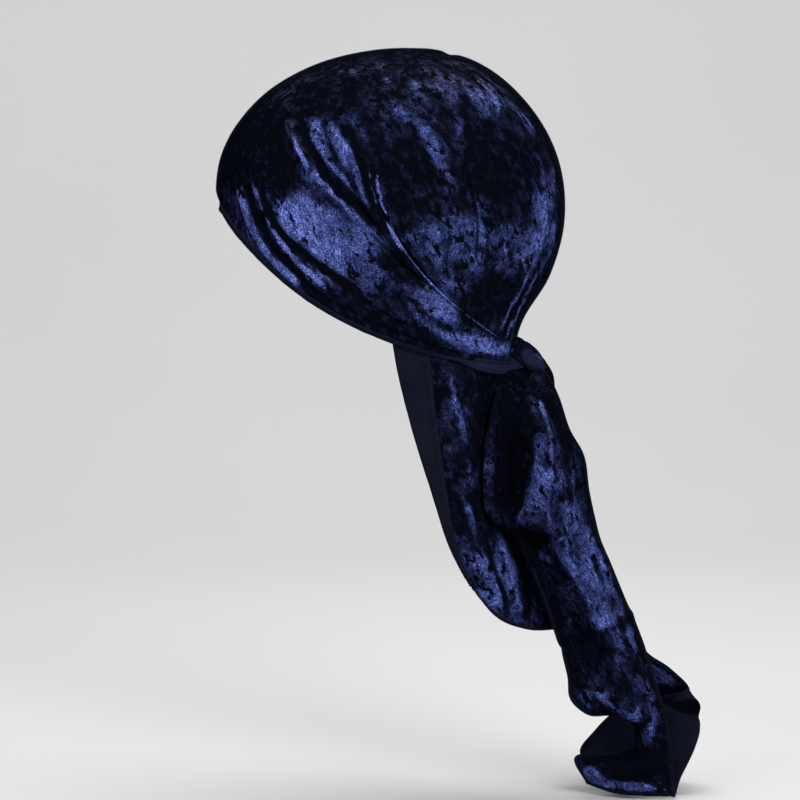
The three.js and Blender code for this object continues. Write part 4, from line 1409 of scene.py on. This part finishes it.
class DURAG_OT_cap(bpy.types.Operator):
    """Builds the two halves of the cap and their serged front hems"""
    bl_idname = "durag.cap"
    bl_label = "Cap"

    def execute(self, context):
        cloth = context.scene.durag_cloth
        bare, crease_shading, thin, run = cap_grid(cloth)
        grid = with_hem(bare, run)
        from_hem = np.pad(lengths(bare, 0), ((HEM_LINES, 0), (0, 0)))
        turned = from_hem <= np.minimum(lip_height(run), 0.25 * from_hem[-1])
        edge_lay = mix(0.0, LIP_FAR_LAY, ease(0.08, 0.3, run))
        side = pile_side(grid)
        halves = (("left", grid, side, 1), ("right", mirror(grid), -side, FAR_MARKS))
        for name, half, way, shine in halves:
            lay_and_painted_light = cap_lay_and_painted_light(bare, crease_shading * shine)
            lay_and_painted_light = np.concatenate((np.repeat(lay_and_painted_light[:1], HEM_LINES, 0) - 0.2, lay_and_painted_light))
            piece = cloth_piece(
                f"cap_{name}", f"side_panel_{name}", half, thin[..., None] * cloth.thickness / MM,
                np.where(turned, edge_lay, lay_and_painted_light), way,
                (*velvet_finishes(), material("velvet_turned")), turned,
            )
            hem = [border(half[0], half[3])]
            hem = overlocked(f"front_hem_{name}_thread", hem, f"front_hem_{name}")
            trim = [hem, self.lip_stitches(name, half, way, run, cloth)]
            if name == "left":
                trim += [bpy.data.objects[f"centre_seam_{part}"] for part in ("edges", "thread")]
        return {"FINISHED"}

    def lip_stitches(self, name, half, way, run, cloth):
        """Two rows of stitches along the top of the turned-out edge, from the knot."""
        across = half.transpose(1, 0, 2)
        keep = (run > LIP_STITCH_RUN[0]) & (run < LIP_STITCH_RUN[1])
        top = lengths(across, 1)[:, HEM_LINES] + lip_height(run)
        paths = [stitch_path(across, top + up, -way, keep, cloth) for up in LIP_STITCHES]
        return stitched(f"cap_stitches_{name}", paths)


class DURAG_OT_knot(bpy.types.Operator):
    """Builds the knot at the nape"""
    bl_idname = "durag.knot"
    bl_label = "Knot"

    def execute(self, context):
        ball = bmesh.new()
        bmesh.ops.create_icosphere(ball, subdivisions=6, radius=1)
        mesh = bpy.data.meshes.new("knot_wraps")
        ball.to_mesh(mesh)
        ball.free()
        ways = np.empty(len(mesh.vertices) * 3, np.float32)
        mesh.vertices.foreach_get("co", ways)
        ways = unit(ways.reshape(-1, 3).astype(float))
        points, hood = knot_points(ways, context.scene.durag_cloth)
        mesh.vertices.foreach_set("co", (points * MM).astype(np.float32).ravel())
        corners = np.empty(len(mesh.polygons) * 3, np.int32)
        mesh.polygons.foreach_get("vertices", corners)
        turned = hood[corners.reshape(-1, 3)].mean(1) > 0
        turn = np.arctan2(ways[:, 1], ways[:, 0]) * KNOT_RADII[0]
        uv = np.stack((turn, ways[:, 2] * KNOT_RADII[2]), 1)[corners]
        lay_and_painted_light = np.where(hood > 0, HOOD_PAINTED_SHADE, KNOT_LAY) + brushed(points[None], KNOT_PAINTED_HIGHLIGHTS, 0)[0]
        finishes = (material("velvet_pile"), material("velvet_turned"))
        settle(dressed(mesh, finishes, turned, uv, lay_and_painted_light), "velvet", "knot")
        return {"FINISHED"}


class DURAG_OT_flap(bpy.types.Operator):
    """Builds the neck flap: its two halves, turned edge, centre seam and hems"""
    bl_idname = "durag.flap"
    bl_label = "Neck Flap"

    def execute(self, context):
        cloth = context.scene.durag_cloth
        plain, crease_shading, widths = flap_grid(cloth)
        lay_and_painted_light = brushed(plain, FLAP_BRUSHED, FLAP_LAY) + crease_shading - by_hems(plain, FLAP_HEM_DULL)
        side = pile_side(plain)
        turned, added = with_turned_edge(plain, widths)
        turned_lay = np.pad(lay_and_painted_light, ((0, 0), (added, 0)))
        other = mirror(plain)
        thick = cloth.thickness / MM
        left = cloth_piece("flap_left", "cape_left", turned, thick, turned_lay, side, velvet_finishes())
        right = cloth_piece("flap_right", "cape_right", other, thick, lay_and_painted_light, -side, velvet_finishes())
        hem_left, hem_right = (
            overlocked(f"flap_hem_{name}_thread", [
                border(half[:, 0], half[:, 4]), border(half[-1, start:], half[-4, start:]),
            ])
            for name, half, start in (("left", turned, added), ("right", other, 0))
        )
        rows = len(turned)
        paths = [
            stitch_path(
                turned, np.full(rows, inset), -pile_side(turned[:, added:]),
                np.arange(rows) < 0.8 * rows, cloth,
            )
            for inset in TWIN_INSETS
        ]
        twin = stitched("flap_twin_stitches", paths)
        seam = self.back_seam()
        return {"FINISHED"}

    def back_seam(self):
        """The seam down the back of the flap, from just below the knot."""
        back = FLAP[:, -1]
        places = np.linspace(FLAP_SEAM_START, len(back) - 1, FLAP_SEAM_POINTS)
        line = through(back, places) * (1, 0, 1)
        step = np.gradient(line, axis=0)
        outward = unit(np.stack((-step[:, 2], 0 * step[:, 1], step[:, 0]), 1))
        place = np.arange(len(line))
        wave = 0.5 * np.sin(place / 8) + 0.3 * np.sin(place / 3 + 2)
        rise = np.full(len(line), SEAM_RISE)
        return standing_seam("flap_seam", "cape_seam", line, outward, wave, rise)


class DURAG_OT_tails(bpy.types.Operator):
    """Builds the two tails of the ties with their hems"""
    bl_idname = "durag.tails"
    bl_label = "Tails"

    def execute(self, context):
        cloth = context.scene.durag_cloth
        near, near_thread = self.tail("near", "tail_left", *near_tail(cloth), cloth)
        far, far_thread = self.tail("far", "tail_right", *far_tail(cloth), cloth)
        return {"FINISHED"}

    def tail(self, name, cad_node, grid, lay_and_painted_light, side, cloth):
        """One tail, with overlock stitches along its sides and its end."""
        piece = cloth_piece(
            f"{name}_tail", cad_node, grid, cloth.thickness / MM,
            lay_and_painted_light - by_hems(grid, TAIL_HEM_DULL), side, velvet_finishes(),
        )
        paths = [
            border(grid[:, 0], grid[:, 4]), border(grid[:, -1], grid[:, -5]), border(grid[-1], grid[-5]),
        ]
        return piece, overlocked(f"{name}_tail_thread", paths)


# ---------------------------------------------------------------- stage

class DURAG_OT_stage(bpy.types.Operator):
    """Builds the floor, the backdrop, the lights and the camera"""
    bl_idname = "durag.stage"
    bl_label = "Stage"

    def execute(self, context):
        stage = context.scene.durag_stage
        build_backdrop(stage, CAD_BOX[0].z - FLOOR_GAP)
        build_lights(stage)
        build_camera(stage)
        context.scene.view_settings.view_transform = "Standard"
        return {"FINISHED"}


def build_backdrop(stage, floor):
    """A pale sheet that lies flat and sweeps up behind."""
    turns = [math.pi / 2 * step / SWEEP_STEPS for step in range(1, SWEEP_STEPS + 1)]
    sweep = [
        (SWEEP_START + SWEEP_RADIUS * math.sin(turn), SWEEP_RADIUS * (1 - math.cos(turn)))
        for turn in turns
    ]
    top = (SWEEP_START + SWEEP_RADIUS, SWEEP_TOP)
    profile = [(SWEEP_FRONT, 0.0), (SWEEP_START, 0.0), *sweep, top]
    points = [(x, y, floor + z) for x in (-SWEEP_SIDE, SWEEP_SIDE) for y, z in profile]
    count = len(profile)
    faces = [(k, k + 1, k + 1 + count, k + count) for k in range(count - 1)]
    mesh = bpy.data.meshes.new("backdrop")
    mesh.from_pydata(points, [], faces)
    mesh.shade_smooth()
    paper, tree, shader = empty_material("backdrop_paper")
    soft = noise(tree, object_place(tree), 0.6, 2.0, 0.5)
    colour = blended(tree, soft, rgba(stage.tone), rgba(stage.tone, 0.93))
    fill(tree, shader, {"Base Color": colour, "Roughness": 0.9})
    mesh.materials.append(paper)
    linked("backdrop", mesh)


def aimed(thing, location, target):
    """Puts a camera or lamp at a place, so that it looks at a target, with no roll."""
    x, y, z = unit(np.subtract(target, location))
    thing.location = location
    thing.rotation_euler = math.acos(-z), 0.0, math.atan2(y, x) - math.pi / 2


def build_lights(stage):
    for name, size, power, share, location, target in LIGHTS:
        light = bpy.data.lights.new(name, "AREA")
        light.size = size
        light.energy = getattr(stage, power) * share
        aimed(linked(name, light), location, target)
    world = bpy.data.worlds.new("studio")
    world.use_nodes = True
    fill(world.node_tree, world.node_tree.nodes["Background"], SKY)
    bpy.context.scene.world = world


def build_camera(stage):
    data = bpy.data.cameras.new("camera")
    data.sensor_width = SENSOR_WIDTH
    data.lens = SENSOR_WIDTH * stage.camera_distance / stage.view_width
    camera = linked("camera", data)
    aimed(camera, (0.0, -stage.camera_distance, CAMERA_HEIGHT), CAMERA_TARGET)
    bpy.context.scene.camera = camera


# ---------------------------------------------------------------- panel and run

OPERATORS = [
    DURAG_OT_centre_seam, DURAG_OT_cap, DURAG_OT_knot, DURAG_OT_flap, DURAG_OT_tails, DURAG_OT_stage,
]


class DURAG_PT_panel(bpy.types.Panel):
    """Lists the durag's settings and pieces"""
    bl_idname = "DURAG_PT_panel"
    bl_label = "Velvet Durag"
    bl_space_type = "VIEW_3D"
    bl_region_type = "UI"
    bl_category = "Durag"

    def draw(self, context):
        for name in SETTINGS:
            box = self.layout.box()
            group = getattr(context.scene, name)
            for key in group.bl_rna.properties.keys():
                if key not in ("rna_type", "name"):
                    box.prop(group, key)
        for kind in OPERATORS:
            self.layout.operator(kind.bl_idname)


def register():
    for name, kind in SETTINGS.items():
        bpy.utils.register_class(kind)
        setattr(bpy.types.Scene, name, PointerProperty(type=kind))
    for kind in (*OPERATORS, DURAG_PT_panel):
        bpy.utils.register_class(kind)


def unregister():
    for kind in (DURAG_PT_panel, *reversed(OPERATORS)):
        bpy.utils.unregister_class(kind)
    for name, kind in SETTINGS.items():
        delattr(bpy.types.Scene, name)
        bpy.utils.unregister_class(kind)


def main():
    """Builds every piece and the stage."""
    register()
    for kind in OPERATORS:
        module, name = kind.bl_idname.split(".")
        getattr(getattr(bpy.ops, module), name)()


if __name__ == "__main__":
    main()
